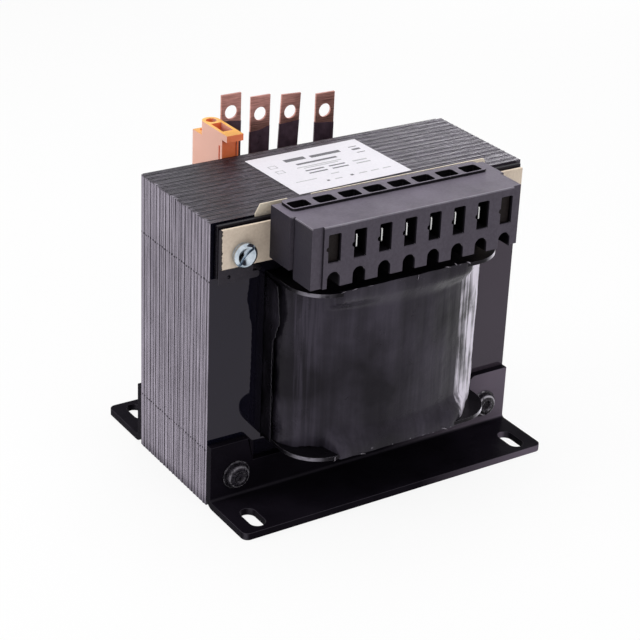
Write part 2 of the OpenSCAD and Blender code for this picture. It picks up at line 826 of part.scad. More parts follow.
// Push-on tabs, each with its two tip corners cut
module terminal_tabs()
    color("silver") at_poles(1, pole_count - 2) mirror([0, 1, 0])
        run_x(-tab_t / 2, tab_t) difference() {
            translate([tab_end, tab_z - tab_w / 2]) square([tab_l, tab_w]);
            for (s = [-1, 1]) translate([tab_tip, tab_z + s * tab_w / 2])
                rotate(45) square(1.6, center = true);
        }

// Fillers in the two end positions, which carry no tab
module blank_inserts()
    color("#2a2320") for (i = [0, pole_count - 1]) at_poles(i, i) mirror([0, 1, 0])
        plate_y(block_front - window_d + seat, window_d - insert_sink - seat)
            translate([-window_w / 2 + seat, window_z0 + seat])
                rounded(window_w - 2 * seat, window_h - 2 * seat, window_r);

// Primary leads, from the winding up to the tabs
module primary_leads()
    color("#222226") at_poles(1, pole_count - 2)
        translate([0, -lead_y, wind_z1 + seat])
            cylinder(d = lead_d, h = tab_z - tab_w / 2 - wind_z1 - 2 * seat, $fn = 24);

// ---- back ----

// Rear strap with a ledge for the screw terminal, folded out of its lower edge
module rear_strap()
    color("#17171a") {
        difference() {
            union() {
                plate_y(half_d, strap_t) strap_shape();
                translate([ledge_x0, half_d, ledge_z1 - ledge_t])
                    cube([ledge_w, rear_d + 2 * seat, ledge_t]);
                translate([ledge_x0, half_d, ledge_z1 - ledge_t])
                    cube([ledge_w, strap_t, ledge_t + cut]);
            }
            translate([rear_cx, tower_y, ledge_z1 - ledge_t - cut])
                cylinder(d = fixing_d + 1, h = ledge_t + 2 * cut);
        }
    }

// Side view of the orange block: low rear part, high front part with a lip
module rear_block_side()
    polygon([[rear_y0, ledge_z1], [rear_y0, rear_top - lip_t],
        [rear_y0 - lip_reach, rear_top - lip_t], [rear_y0 - lip_reach, rear_top],
        [tower_y, rear_top], [tower_y, rear_top - rear_low],
        [rear_y1, rear_top - rear_low], [rear_y1, ledge_z1]]);

module rear_terminal_block()
    color("#e08a3c") difference() {
        union() {
            run_x(-rear_x, rear_w) rear_block_side();
            translate([rear_cx, tower_y, ledge_z1])
                cylinder(d = rear_w, h = rear_top - ledge_z1);
        }
        // wire entry in the top
        translate([rear_cx - entry_w / 2, entry_y, rear_top - entry_deep])
            cube([entry_w, entry_l, entry_deep + cut]);
        // screw funnel and the round recess behind it
        translate([rear_cx, tower_y, rear_top - funnel_deep])
            cylinder(d = funnel_d, h = funnel_deep + cut);
        translate([rear_cx, rear_y1 - peg_back, rear_top - rear_low - peg_deep])
            cylinder(d = peg_d, h = peg_deep + cut);
        // sunk panel in the front, and a groove down the side
        translate([-rear_x + panel_edge, rear_y0 - cut, ledge_z1 + panel_foot])
            cube([rear_w - 2 * panel_edge, cut + panel_sink,
                rear_top - lip_t - ledge_z1 - panel_foot]);
        translate([-rear_x - cut, rear_y0 + groove_y, ledge_z1 - cut])
            cube([cut + groove_deep, groove_w, rear_top - ledge_z1 - groove_drop]);
        // room for the fixing screw from below
        translate([rear_cx, tower_y, ledge_z1 - cut])
            cylinder(d = fixing_d + 2 * seat, h = fixing_up + cut);
    }

module rear_terminal_clamp()
    color("silver") difference() {
        translate([rear_cx - entry_w / 2 + seat, entry_y + seat, rear_top - entry_deep])
            cube([entry_w - 2 * seat, entry_l - 2 * seat, clamp_h]);
        translate([rear_cx, entry_y + entry_l / 2, rear_top - entry_deep + 1])
            cylinder(d = 3, h = clamp_h);
    }

module rear_terminal_screw()
    color("silver") translate([rear_cx, tower_y, rear_top - funnel_deep]) difference() {
        cylinder(d = funnel_d - 2 * seat, h = clamp_screw_h);
        translate([0, 0, clamp_screw_h]) cube([funnel_d, 0.8, 1.6], center = true);
    }

module rear_terminal_fixing()
    color("silver") translate([rear_cx, tower_y, ledge_z1 - ledge_t]) {
        translate([0, 0, -fixing_head_h]) cylinder(d = fixing_head_d, h = fixing_head_h);
        cylinder(d = fixing_d, h = ledge_t + fixing_up - seat);
    }

// Stands children on bar i's own axis, with z = 0 at the top of the winding
module at_bar(i)
    translate([bar_x[i], bar_y, bar_foot]) rotate([0, bar_lean[i], 0]) children();

// Lengths above the winding of bar i and of its sleeve
function bar_l(i) = core_h + bar_rise[i] - bar_foot;
function sleeve_l(i) = core_h + sleeve_rise[i] - bar_foot;

module busbar(i)
    color("#b87351") at_bar(i) difference() {
        translate([-bar_w / 2, -bar_t / 2, -bar_depth])
            cube([bar_w, bar_t, bar_depth + bar_l(i)]);
        rod_y(0, bar_l(i) - bar_hole_drop, -bar_t, 2 * bar_t, bar_hole_d);
    }

module busbar_sleeve(i)
    color("#201e22") at_bar(i) difference() {
        translate([-bar_w / 2 - sleeve_t, -bar_t / 2 - sleeve_t,
            seat + (bar_w / 2 + sleeve_t) * sin(abs(bar_lean[i]))])
            cube([bar_w + 2 * sleeve_t, bar_t + 2 * sleeve_t, sleeve_l(i) + bar_w / 2]);
        translate([-bar_w / 2 - sleeve_fit, -bar_t / 2 - sleeve_fit, -cut])
            cube([bar_w + 2 * sleeve_fit, bar_t + 2 * sleeve_fit, bar_l(i)]);
        translate([0, 0, sleeve_l(i)]) rotate([0, -sleeve_cut[i], 0])
            translate([-bar_w, -bar_w, 0]) cube(2 * bar_w);
    }

module rating_label()
    color("white") translate([label_x, label_y, core_h + layer_jog]) rotate(label_turn)
        translate([-label_l / 2, -label_d / 2, 0]) cube([label_l, label_d, label_t]);

e_laminations_up();
i_laminations_top();
e_laminations_down();
i_laminations_bottom();
bobbin();
primary_winding();
interwinding_insulation();
secondary_winding();
outer_wrap();
window_liners();
front_bracket();
rear_bracket();
core_bolts();
core_bolt_washers();
core_lock_washers();
core_nuts();
bolt_sleeves();
barrier_sheet();
front_strap();
terminal_carrier();
terminal_board();
terminal_base();
terminal_housing();
terminal_tabs();
blank_inserts();
primary_leads();
terminal_screws();
terminal_screw_washers();
terminal_nuts();
rear_strap();
rear_terminal_block();
rear_terminal_clamp();
rear_terminal_screw();
rear_terminal_fixing();
busbar(0);  // busbar_1
busbar(1);  // busbar_2
busbar(2);  // busbar_3
busbar(3);  // busbar_4
busbar_sleeve(0);  // busbar_sleeve_1
busbar_sleeve(1);  // busbar_sleeve_2
busbar_sleeve(2);  // busbar_sleeve_3
busbar_sleeve(3);  // busbar_sleeve_4
rating_label();
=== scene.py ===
import bpy
import bmesh
import json
import math
from mathutils import Vector, Matrix, geometry


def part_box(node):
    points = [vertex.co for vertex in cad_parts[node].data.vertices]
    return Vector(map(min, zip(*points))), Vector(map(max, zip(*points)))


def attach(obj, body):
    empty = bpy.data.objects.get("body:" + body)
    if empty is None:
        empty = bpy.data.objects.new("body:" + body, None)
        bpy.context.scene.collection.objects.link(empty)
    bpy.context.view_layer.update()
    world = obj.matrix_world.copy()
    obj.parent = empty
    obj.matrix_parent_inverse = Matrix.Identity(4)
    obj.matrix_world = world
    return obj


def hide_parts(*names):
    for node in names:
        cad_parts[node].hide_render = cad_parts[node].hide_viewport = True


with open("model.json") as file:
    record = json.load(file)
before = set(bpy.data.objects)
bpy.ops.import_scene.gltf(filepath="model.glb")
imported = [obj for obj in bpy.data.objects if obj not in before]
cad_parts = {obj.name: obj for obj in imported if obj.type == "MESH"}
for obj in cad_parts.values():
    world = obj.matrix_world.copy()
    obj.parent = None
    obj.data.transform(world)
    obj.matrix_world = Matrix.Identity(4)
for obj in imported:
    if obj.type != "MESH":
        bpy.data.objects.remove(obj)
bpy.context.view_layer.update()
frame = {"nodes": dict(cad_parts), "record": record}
nodes = frame["nodes"]
scene = bpy.context.scene
print("frame loaded with", len(nodes), "nodes")

# settings, nodes and links


def withSettings(made, settings):
    for name, value in settings.items():
        setattr(made, name, value)
    return made


def newObject(name, data, **settings):
    made = withSettings(bpy.data.objects.new(name, data), settings)
    scene.collection.objects.link(made)
    return made


def emptyTree(owner):  # the node tree of a world or a material, with nothing in it yet
    owner.use_nodes = True
    owner.node_tree.nodes.clear()
    return owner.node_tree


def feed(value, socket):  # a number, a colour or the output of another node
    if isinstance(value, bpy.types.NodeSocket):
        socket.id_data.links.new(value, socket)
    elif socket.type == "RGBA" and len(value) == 3:
        socket.default_value = (*value, 1)
    else:
        socket.default_value = value


def newNode(tree, kind, inputs=None, **settings):
    made = withSettings(tree.nodes.new(kind), settings)
    for name, value in (inputs or {}).items():
        feed(value, made.inputs[name])
    return made


def nodeAfter(kind, inputs, **settings):  # stands in the tree that its first linked value comes from
    tree = next(value.id_data for value in inputs.values() if isinstance(value, bpy.types.NodeSocket))
    return newNode(tree, kind, inputs, **settings).outputs


def mathNode(operation, *values, clamp=False):
    return nodeAfter("ShaderNodeMath", dict(enumerate(values)), operation=operation, use_clamp=clamp)[0]


def times(first, *others, clamp=False):
    for value in others[:-1]:
        first = mathNode("MULTIPLY", first, value)
    return mathNode("MULTIPLY", first, others[-1], clamp=clamp)


def plus(first, second, clamp=False):
    return mathNode("ADD", first, second, clamp=clamp)


def minus(first, second):
    return mathNode("SUBTRACT", first, second)


def larger(first, second):
    return mathNode("MAXIMUM", first, second)


def sizeOf(value):
    return mathNode("ABSOLUTE", value)


def above(value, limit):
    return mathNode("GREATER_THAN", value, limit)


def remap(value, low, high, outLow=0, outHigh=1, **settings):
    return nodeAfter("ShaderNodeMapRange", {0: value, 1: low, 2: high, 3: outLow, 4: outHigh}, **settings)[0]


def blend(factor, first, second):
    return nodeAfter("ShaderNodeMix", {0: factor, 6: first, 7: second}, data_type="RGBA")[2]


def between(factor, first, second):
    return nodeAfter("ShaderNodeMix", {0: factor, 2: first, 3: second}, data_type="FLOAT")[0]


def vectorNode(operation, *values):
    return nodeAfter("ShaderNodeVectorMath", dict(enumerate(values)), operation=operation)[0]


def scaled(vector, amount):
    return nodeAfter("ShaderNodeVectorMath", {0: vector, "Scale": amount}, operation="SCALE")[0]


def axisParts(vector):
    return nodeAfter("ShaderNodeSeparateXYZ", {0: vector})


def noiseNode(vector, scale, detail=2.0, rough=0.5):
    inputs = {"Vector": vector, "Scale": scale, "Detail": detail, "Roughness": rough}
    return nodeAfter("ShaderNodeTexNoise", inputs)["Fac"]


# camera, light and floor

viewCamera = {"place": (-0.39859, -0.59204, 0.4035), "turn": (1.150099, -0.039502, -0.568542),
              "lens": 104.173, "shiftY": -0.1, "nearest": 0.01}
studio = {
    "lamps": [  # name, place, size, power, whether glossy faces mirror it
        ("leftSoftbox", (-0.85, 0.3, 0.4), 0.6, 4.5, False),
        ("topSoftbox", (0.1, 0.1, 1.05), 0.8, 6.5, False),
        ("frontSoftbox", (0.3, -0.95, 0.5), 0.6, 2.4, False),
        ("backSoftbox", (0.72, 0.74, 0.12), 0.4, 1.6, True)],
    "aim": (0, 0, 0.06), "roomLight": 0.35, "floorSize": 3.0, "floorTone": 0.86, "floorGlow": 0.88}


def makeCamera():
    cameraData = withSettings(bpy.data.cameras.new("viewCamera"), {
        "lens": viewCamera["lens"], "shift_y": viewCamera["shiftY"], "clip_start": viewCamera["nearest"]})
    scene.camera = newObject("viewCamera", cameraData, location=viewCamera["place"], rotation_euler=viewCamera["turn"])
    scene.view_settings.view_transform = "Standard"


def addLamp(name, place, size, power, mirrored):
    lampData = withSettings(bpy.data.lights.new(name, "AREA"), {"shape": "DISK", "size": size, "energy": power})
    turn = (Vector(studio["aim"]) - Vector(place)).to_track_quat("-Z", "Y").to_euler()
    newObject(name, lampData, location=place, rotation_euler=turn, visible_glossy=mirrored, visible_camera=False)


def seenDirectly(tree):  # 1 where a camera, mirror or glass ray meets it
    path = newNode(tree, "ShaderNodeLightPath").outputs
    either = larger(path["Is Camera Ray"], path["Is Glossy Ray"])
    return larger(either, path["Is Transmission Ray"])


def makeRoom():
    scene.world = bpy.data.worlds.new("room")
    tree = emptyTree(scene.world)
    lit = newNode(tree, "ShaderNodeBackground", {"Color": (1, 1, 1), "Strength": studio["roomLight"]})
    white = newNode(tree, "ShaderNodeBackground", {"Color": (1, 1, 1), "Strength": 1.0})
    mix = newNode(tree, "ShaderNodeMixShader", {0: seenDirectly(tree), 1: lit.outputs[0], 2: white.outputs[0]})
    newNode(tree, "ShaderNodeOutputWorld", {0: mix.outputs[0]})


def makeFloor():
    half, tone = studio["floorSize"] / 2, studio["floorTone"]
    mesh = bpy.data.meshes.new("floor")
    mesh.from_pydata([(-half, -half, 0), (half, -half, 0), (half, half, 0), (-half, half, 0)], [], [(0, 1, 2, 3)])
    floor = newObject("floor", mesh)
    mesh.materials.append(bpy.data.materials.new("floorPaint"))
    tree = emptyTree(mesh.materials[0])
    matte = newNode(tree, "ShaderNodeBsdfDiffuse", {"Color": (tone, tone, tone)})
    glow = newNode(tree, "ShaderNodeEmission", {"Color": (1, 1, 1), "Strength": 1.0})
    share = times(seenDirectly(tree), studio["floorGlow"])
    mix = newNode(tree, "ShaderNodeMixShader", {0: share, 1: matte.outputs[0], 2: glow.outputs[0]})
    newNode(tree, "ShaderNodeOutputMaterial", {0: mix.outputs[0]})


makeCamera()
for lampSettings in studio["lamps"]:
    addLamp(*lampSettings)
makeRoom()
makeFloor()
print("camera, lamps and floor made")

# shared surface effects


def newGroup(name, kind, inputs, outputs):  # name, type and first value of each input, name and type of outputs
    group = bpy.data.node_groups.new(name, kind)
    for label, socketKind, *value in inputs:
        socket = group.interface.new_socket(name=label, in_out="INPUT", socket_type="NodeSocket" + socketKind)
        if value:
            socket.default_value = value[0]
    for label, socketKind in outputs:
        group.interface.new_socket(name=label, in_out="OUTPUT", socket_type="NodeSocket" + socketKind)
    return group, newNode(group, "NodeGroupInput").outputs, newNode(group, "NodeGroupOutput").inputs


def makeBlotches():  # cloudy change of tone with fine specks, for paint, lacquer and moulded faces
    group, start, end = newGroup("blotches", "ShaderNodeTree", [
        ("Vector", "Vector"), ("Size", "Float", 60.0), ("Speck Size", "Float", 1500.0)],
        [("Cloud", "Float"), ("Speck", "Float")])
    cloud = noiseNode(start["Vector"], start["Size"], detail=4.0)
    speck = noiseNode(start["Vector"], start["Speck Size"])
    feed(remap(cloud, 0.3, 0.7), end["Cloud"])
    feed(remap(speck, 0.35, 0.65), end["Speck"])
    return group


def makeStreaks():  # fine lines drawn out along one direction, given by the scale of each axis
    group, start, end = newGroup("streaks", "ShaderNodeTree", [
        ("Vector", "Vector"), ("Stretch", "Vector", (1, 1, 1))], [("Line", "Float")])
    line = noiseNode(vectorNode("MULTIPLY", start["Vector"], start["Stretch"]), 1.0, detail=3.0)
    feed(remap(line, 0.32, 0.68), end["Line"])
    return group


blotchGroup = makeBlotches()
streakGroup = makeStreaks()


def blotches(place, size, speckSize):
    return nodeAfter("ShaderNodeGroup", {"Vector": place, "Size": size, "Speck Size": speckSize}, node_tree=blotchGroup)


def streaks(place, stretch):
    return nodeAfter("ShaderNodeGroup", {"Vector": place, "Stretch": stretch}, node_tree=streakGroup)["Line"]


def chanceNode(number):  # an even chance from 0 to 1 that is its own for each whole number
    return nodeAfter("ShaderNodeTexWhiteNoise", {"W": number}, noise_dimensions="1D")["Value"]


def newSurface(name):  # a material with its shader, its object coordinates, and the axes of these and of the normal
    material = bpy.data.materials.new(name)
    material.use_nodes = True
    tree = material.node_tree
    place = newNode(tree, "ShaderNodeTexCoord").outputs["Object"]
    normal = newNode(tree, "ShaderNodeNewGeometry").outputs["Normal"]
    return material, tree.nodes["Principled BSDF"], place, axisParts(place), axisParts(normal)


shaderInputs = {"colour": "Base Color", "rough": "Roughness", "metal": "Metallic", "ior": "IOR",
                "gloss": "Specular IOR Level", "tint": "Specular Tint"}


def dress(shader, **values):
    for name, value in values.items():
        feed(value, shader.inputs[shaderInputs[name]])


def addBump(shader, height, strength, distance):
    bump = nodeAfter("ShaderNodeBump", {"Strength": strength, "Distance": distance, "Height": height})
    feed(bump[0], shader.inputs["Normal"])


# core

coreFinish = {
    "sideDark": (0.03, 0.026, 0.034), "sideLight": (0.4, 0.365, 0.425), "topDark": (0.004, 0.0035, 0.0048),
    "topLight": (0.088, 0.077, 0.1), "leftFace": (0.0034, 0.0033, 0.0078), "rightFace": (0.044, 0.034, 0.046),
    "rimDark": (0.012, 0.01, 0.013), "rimLight": (0.36, 0.33, 0.39), "seamTone": (0.008, 0.007, 0.009),
    "tint": (0.92, 0.84, 1), "gloss": 0.34,
    # ranges of X or Z in metres over which an effect comes or goes
    "shadedFoot": (0.0005, 0.005), "topLitToRight": (-0.06, 0.08), "leftRim": (-0.075, -0.062), "rimX": (-0.0736, -0.0746),
    "rimZ": (0.1244, 0.1249), "faceSpan": (-0.06, 0.06), "rippleSpan": (-0.06, 0.04),
    "frontY": 0.0285, "linesPerMetre": 640, "sheetsPerMetre": 1000,
    "seamHeights": (0.1, 0.025), "seamWidth": 0.00022, "seamScatter": 0.0005,
    "longLines": (10, 2600, 10), "shortLines": (70, 1700, 70), "wideLines": (30, 300, 30), "dashes": (260, 1500, 260),
    "cloud": (34, 1400), "ripple": (420, 1800), "sagSize": 17, "sagDepth": 16}


def makeCoreLacquer():
    finish = coreFinish
    material, shader, place, spots, normal = newSurface("coreLacquer")
    facing = above(sizeOf(normal["Y"]), 0.7)
    notFacing = minus(1, facing)
    upper = above(normal["Z"], 0.7)
    long, short = streaks(place, finish["longLines"]), streaks(place, finish["shortLines"])
    cloud = blotches(place, *finish["cloud"])["Cloud"]
    # a dark line between the layers, some of them fainter than others
    inFromFront = plus(spots["Y"], finish["frontY"])
    waver = times(minus(streaks(place, finish["wideLines"]), 0.5), 0.25)
    across = plus(times(inFromFront, finish["linesPerMetre"]), waver)
    layer = mathNode("FLOOR", plus(across, 0.5))
    chance = chanceNode(layer)
    offLine = sizeOf(minus(across, layer))
    lineDepth = times(between(chance, 0.35, 0.95), between(upper, 1, 0.6))
    lineTone = minus(1, times(remap(offLine, 0.06, 0.19, 1, 0), lineDepth))
    # every second layer has its seam at the top, the others at the foot
    sheet = mathNode("FLOOR", times(inFromFront, finish["sheetsPerMetre"]))
    seamHeight = between(mathNode("MODULO", sheet, 2), *finish["seamHeights"])
    seamHeight = plus(seamHeight, times(chance, finish["seamScatter"]))
    offSeam = sizeOf(minus(spots["Z"], seamHeight))
    seam = times(remap(offSeam, finish["seamWidth"], finish["seamWidth"] * 2.2, 1, 0), notFacing)
    tone = times(between(long, 0.72, 1.1), lineTone)
    tone = times(tone, between(short, 0.7, 1.12), between(cloud, 0.82, 1.1), clamp=True)
    foot = remap(spots["Z"], *finish["shadedFoot"], 0.35, 1)
    side = blend(times(tone, foot), finish["sideDark"], finish["sideLight"])
    # painted light: the top gets lighter from the left to the right, as the light falls on it, and a little lighter
    # again near its left rim
    topLitToRight = remap(plus(spots["X"], times(cloud, 0.02)), *finish["topLitToRight"], 0.22, 1.1)
    rim = remap(spots["X"], *finish["leftRim"], 0.3, 0)
    topTone = times(tone, plus(topLitToRight, rim), clamp=True)
    topTone = times(topTone, remap(streaks(place, finish["dashes"]), 0.35, 0.75, 0.45, 1.7))
    edge = blend(upper, side, blend(topTone, finish["topDark"], finish["topLight"]))
    # the sheet ends stand out a little unevenly along the upper left edge, with painted highlights on some of them
    onTop = times(remap(spots["X"], *finish["rimX"]), upper)
    onSide = times(remap(spots["Z"], *finish["rimZ"]), minus(1, upper))
    along = times(larger(onTop, onSide), remap(offLine, 0.12, 0.22), 0.65)
    rimTone = remap(chanceNode(plus(layer, 40.3)), 0.45, 0.75)
    edge = blend(along, edge, blend(rimTone, finish["rimDark"], finish["rimLight"]))
    edge = blend(seam, edge, finish["seamTone"])
    # painted reflection: the front and back faces are darker at the left and lighter at the right, for what their
    # lacquer mirrors
    face = blend(remap(spots["X"], *finish["faceSpan"]), finish["leftFace"], finish["rightFace"])
    edgeRough = between(upper, remap(short, 0, 1, 0.5, 0.3), 0.32)
    # fine ripples on top, and broad waves in the lacquer of the front and back
    height = minus(plus(lineTone, times(short, 0.8)), times(seam, 1.5))
    ripple = times(blotches(place, *finish["ripple"])["Cloud"], upper)
    height = plus(height, times(ripple, remap(spots["X"], *finish["rippleSpan"], 1.4, 0.5)))
    sag = times(noiseNode(place, finish["sagSize"], detail=0), finish["sagDepth"])
    dress(shader, colour=blend(facing, edge, face), rough=between(facing, edgeRough, 0.03),
          metal=times(notFacing, between(upper, 0.6, 0.1)), gloss=finish["gloss"], tint=finish["tint"])
    addBump(shader, between(facing, height, sag), 0.4, 0.0003)
    return material


# paints, plastics, metals and film

violetTint = (0.95, 0.85, 1)  # of what dark mouldings reflect
paintLight = {"lighter": 1.8, "span": (0.01, 0.066), "edgeDepth": (0.036, 0.044), "speckSize": 700}
paintFinishes = {
    "bracketPaint": {"base": (0.0054, 0.0044, 0.0068), "farFace": (0.15, 0.125, 0.16), "edge": (0.05, 0.045, 0.056),
                     "rough": (0.2, 0.32), "cloudSize": 55, "bump": 0.06, "gloss": 0.025, "ior": 1.25},
    "strapPaint": {"base": (0.004, 0.0035, 0.005), "farFace": (0.02, 0.017, 0.021), "edge": (0.02, 0.018, 0.022),
                   "rough": (0.2, 0.34), "cloudSize": 90, "bump": 0.08, "gloss": 0.15},
    "varnishedSteel": {"base": (0.006, 0.005, 0.0075), "farFace": (0.01, 0.009, 0.01), "edge": (0.01, 0.009, 0.012),
                       "rough": (0.12, 0.3), "cloudSize": 900, "bump": 0.9, "gloss": 0.3,
                       # the rings are painted highlights on the bolt heads
                       "rings": {"x": 0.063, "z": 0.013, "tone": (0.95, 0.9, 1),  # radius, patchiness and strength
                                 "radii": [(0.0024, 0.42, 0.4), (0.0045, 0.34, 1), (0.0062, 0.46, 0.5)]}},
    "shrinkSleeve": {**dict.fromkeys(("base", "farFace", "edge"), (0.05, 0.031, 0.043)), "rough": (0.26, 0.42),
                     "cloudSize": 300, "bump": 0.2, "gloss": 0.3}}
usualPlastic = {"rough": (0.35, 0.5), "grain": 0.1, "gloss": 0.2, "tint": (1, 1, 1)}
printed = {"rough": (0.4, 0.55), "grain": 0.03, "gloss": 0.3}
plasticFinishes = {
    "housingPlastic": {
        "dark": (0.058, 0.05, 0.066), "light": (0.084, 0.074, 0.095), "rough": (0.45, 0.6), "grain": 0.12,
        # leftward is painted shade on the left side, upward painted light on the top, and edge a painted highlight
        "tint": violetTint, "leftward": (0.022, 0.0195, 0.027), "upward": (0.125, 0.11, 0.14),
        "edge": (0.25, 0.23, 0.27), "patchy": 0.2,
        # ranges of X, Y and Z in metres: shaded pockets, the shade under the raised rim, edges that catch the light
        "shaded": [((-0.0488, 0.0488), (-0.0606, -0.0474), (0.1, 0.1293)),
                   ((-0.0468, 0.0457), (-0.0424, -0.0341), (0.11, 0.1306)),
                   ((-0.0505, 0.0505), (-0.0473, -0.0332), (0.13005, 0.1311))],
        "lit": [((-0.05, 0.05), (-0.0620, -0.06135), (0.1294, 0.1302)),
                ((-0.05, 0.05), (-0.0618, -0.061), (0.12975, 0.1302)),
                ((-0.0505, -0.0491), (-0.062, -0.047), (0.1294, 0.1302))]},
    "carrierPlastic": {"dark": (0.018, 0.016, 0.021), "light": (0.03, 0.027, 0.034), "tint": violetTint},
    # edge, brightEnd and endTone are painted highlights on the rims
    "bobbinPlastic": {"dark": (0.002, 0.0016, 0.0026), "light": (0.005, 0.0045, 0.006), "rough": (0.25, 0.4),
                      "gloss": 0.12, "tint": violetTint, "edge": (0.25, 0.235, 0.275), "patchy": 0.36,
                      "brightEnd": (0.036, 0.042), "brightDepth": (-0.03, -0.036), "endTone": (0.9, 0.86, 0.96)},
    # upward and leftward are lit copies of the orange: painted light on the top and painted sheen on the left side
    "orangePlastic": {"dark": (0.97, 0.22, 0.075), "light": (1, 0.27, 0.11), "rough": (0.3, 0.45),
                      "gloss": 0.3, "upward": (0.93, 0.43, 0.1), "leftward": (0.76, 0.42, 0.33)},
    "boardLaminate": {"dark": (0.66, 0.54, 0.43), "light": (0.78, 0.66, 0.54), "rough": (0.4, 0.6),
                      "gloss": 0.4, "ragged": -0.0724, "tear": 0.0022, "stain": (0.016, 0.012, 0.014)},
    "barrierLaminate": {"dark": (0.8, 0.7, 0.56), "light": (0.9, 0.8, 0.66), "rough": (0.4, 0.6), "gloss": 0.4},
    "insertPlastic": {"dark": (0.0105, 0.008, 0.008), "light": (0.019, 0.0148, 0.0145),
                      "rough": (0.5, 0.7), "grain": 0.2, "gloss": 0.1},
    "leadInsulation": {"dark": (0.012, 0.012, 0.013), "light": (0.02, 0.02, 0.022), "grain": 0.05, "gloss": 0.4},
    "sleevePaper": {"dark": (0.4, 0.32, 0.2), "light": (0.5, 0.42, 0.28), "rough": (0.7, 0.9), "grain": 0.3},
    "windingInsulation": {"dark": (0.5, 0.38, 0.16), "light": (0.6, 0.48, 0.24), "rough": (0.3, 0.5), "gloss": 0.4},
    "filmFold": {"dark": (0.012, 0.011, 0.014), "light": (0.055, 0.05, 0.062),
                 "rough": (0.25, 0.4), "grain": 0.3, "gloss": 0.25},
    "filmScrap": {"dark": (0.14, 0.125, 0.15), "light": (0.5, 0.46, 0.53),
                  "rough": (0.2, 0.35), "grain": 0.4, "gloss": 0.5},
    "labelInk": {"dark": (0.09, 0.09, 0.1), "light": (0.16, 0.16, 0.18), **printed},
    "labelGrey": {"dark": (0.34, 0.34, 0.36), "light": (0.46, 0.46, 0.48), **printed},
    "labelFace": {"dark": (0.7, 0.68, 0.735), "light": (0.77, 0.75, 0.8), "grain": 0.03}}
metalFinishes = {
    # zincSteel: its strong dark and light mottling is partly the plating's own and partly painted reflection
    "zincSteel": {"dark": (0.22, 0.27, 0.33), "light": (0.68, 0.75, 0.82), "rough": (0.1, 0.2),
                  "lines": (260, 260, 260)},
    "tabTin": {"dark": (0.6, 0.6, 0.6), "light": (0.8, 0.8, 0.79), "rough": (0.2, 0.35), "lines": (300, 300, 300)},
    "barCopper": {"dark": (0.34, 0.15, 0.125), "light": (0.8, 0.42, 0.36), "rough": (0.28, 0.42),
                  "lines": (160, 160, 3400), "bump": 0.2},
    "windingCopper": {"dark": (0.25, 0.09, 0.04), "light": (0.5, 0.22, 0.1), "rough": (0.25, 0.4),
                      "lines": (60, 60, 2500), "metallic": 0.6}}


def insideRange(spots, limits):  # 1 between the limits of each axis, else 0
    found = []
    for axis, (low, high) in zip("XYZ", limits):
        found += [above(spots[axis], low), mathNode("LESS_THAN", spots[axis], high)]
    return times(*found)


def roundedMask(normal):  # 1 on bends and rounded edges, 0 on faces square to an axis
    parts = [sizeOf(normal[axis]) for axis in "XYZ"]
    return remap(larger(larger(parts[0], parts[1]), parts[2]), 0.8, 0.975, 1, 0)


def ringHighlights(rings, spots, place):  # painted highlights: broken bright rings round the axis of each bolt, brighter at the right
    sideways = minus(sizeOf(spots["X"]), rings["x"])
    upright = minus(spots["Z"], rings["z"])
    away = mathNode("SQRT", plus(times(sideways, sideways), times(upright, upright)))
    broken = noiseNode(place, 420, detail=3)
    ringGlint = None
    for radius, patchiness, strength in rings["radii"]:
        ring = remap(sizeOf(minus(away, radius)), 0.00012, 0.0005, strength, 0)
        ring = times(ring, remap(broken, patchiness, patchiness + 0.12, 0.08, 1))
        ringGlint = ring if ringGlint is None else larger(ringGlint, ring)
    return times(ringGlint, remap(spots["X"], -0.05, 0.05, 0.3, 0.85))


def makePaint(name):
    finish = paintFinishes[name]
    material, shader, place, spots, normal = newSurface(name)
    cloud = blotches(place, finish["cloudSize"], paintLight["speckSize"])
    # front faces pick up light toward the right end
    lighter = times(remap(normal["Y"], -0.6, -0.9), remap(spots["X"], *paintLight["span"]))
    light = tuple(part * paintLight["lighter"] for part in finish["base"])
    base = blend(cloud["Cloud"], finish["base"], light)
    base = blend(lighter, base, finish["farFace"])
    # painted highlights: bright rings on the bolt heads
    if "rings" in finish:
        base = blend(ringHighlights(finish["rings"], spots, place), base, finish["rings"]["tone"])
    # painted highlight: rounded edges and bends are lighter, more so towards the front and back
    edgeShare = times(roundedMask(normal), remap(sizeOf(spots["Y"]), *paintLight["edgeDepth"], 0.35, 1))
    dress(shader, colour=blend(edgeShare, base, finish["edge"]), rough=remap(cloud["Cloud"], 0, 1, *finish["rough"]),
          ior=finish.get("ior", 1.5), gloss=finish["gloss"], tint=coreFinish["tint"])
    addBump(shader, plus(cloud["Cloud"], times(cloud["Speck"], 0.2)), finish["bump"], 0.0006)
    return material


# painted highlights on rounded edges, in patches
def edgeHighlights(finish, colour, normal, spots, place):
    patchy = remap(noiseNode(place, 220, detail=3), finish["patchy"], finish["patchy"] + 0.2, 0.1, 0.9)
    if "brightEnd" not in finish:
        return blend(times(roundedMask(normal), patchy), colour, finish["edge"])
    # painted highlight: the rims at the front right are lit bright
    atEnd = remap(spots["X"], *finish["brightEnd"])
    tone = blend(atEnd, finish["edge"], finish["endTone"])
    upright = times(remap(normal["Z"], 0.7, 0.5), remap(normal["Z"], -0.7, -0.5))
    rimShare = times(atEnd, upright, remap(spots["Y"], *finish["brightDepth"], 0, 0.8))
    edgeShare = times(roundedMask(normal), larger(patchy, atEnd))
    return blend(larger(edgeShare, rimShare), colour, tone)


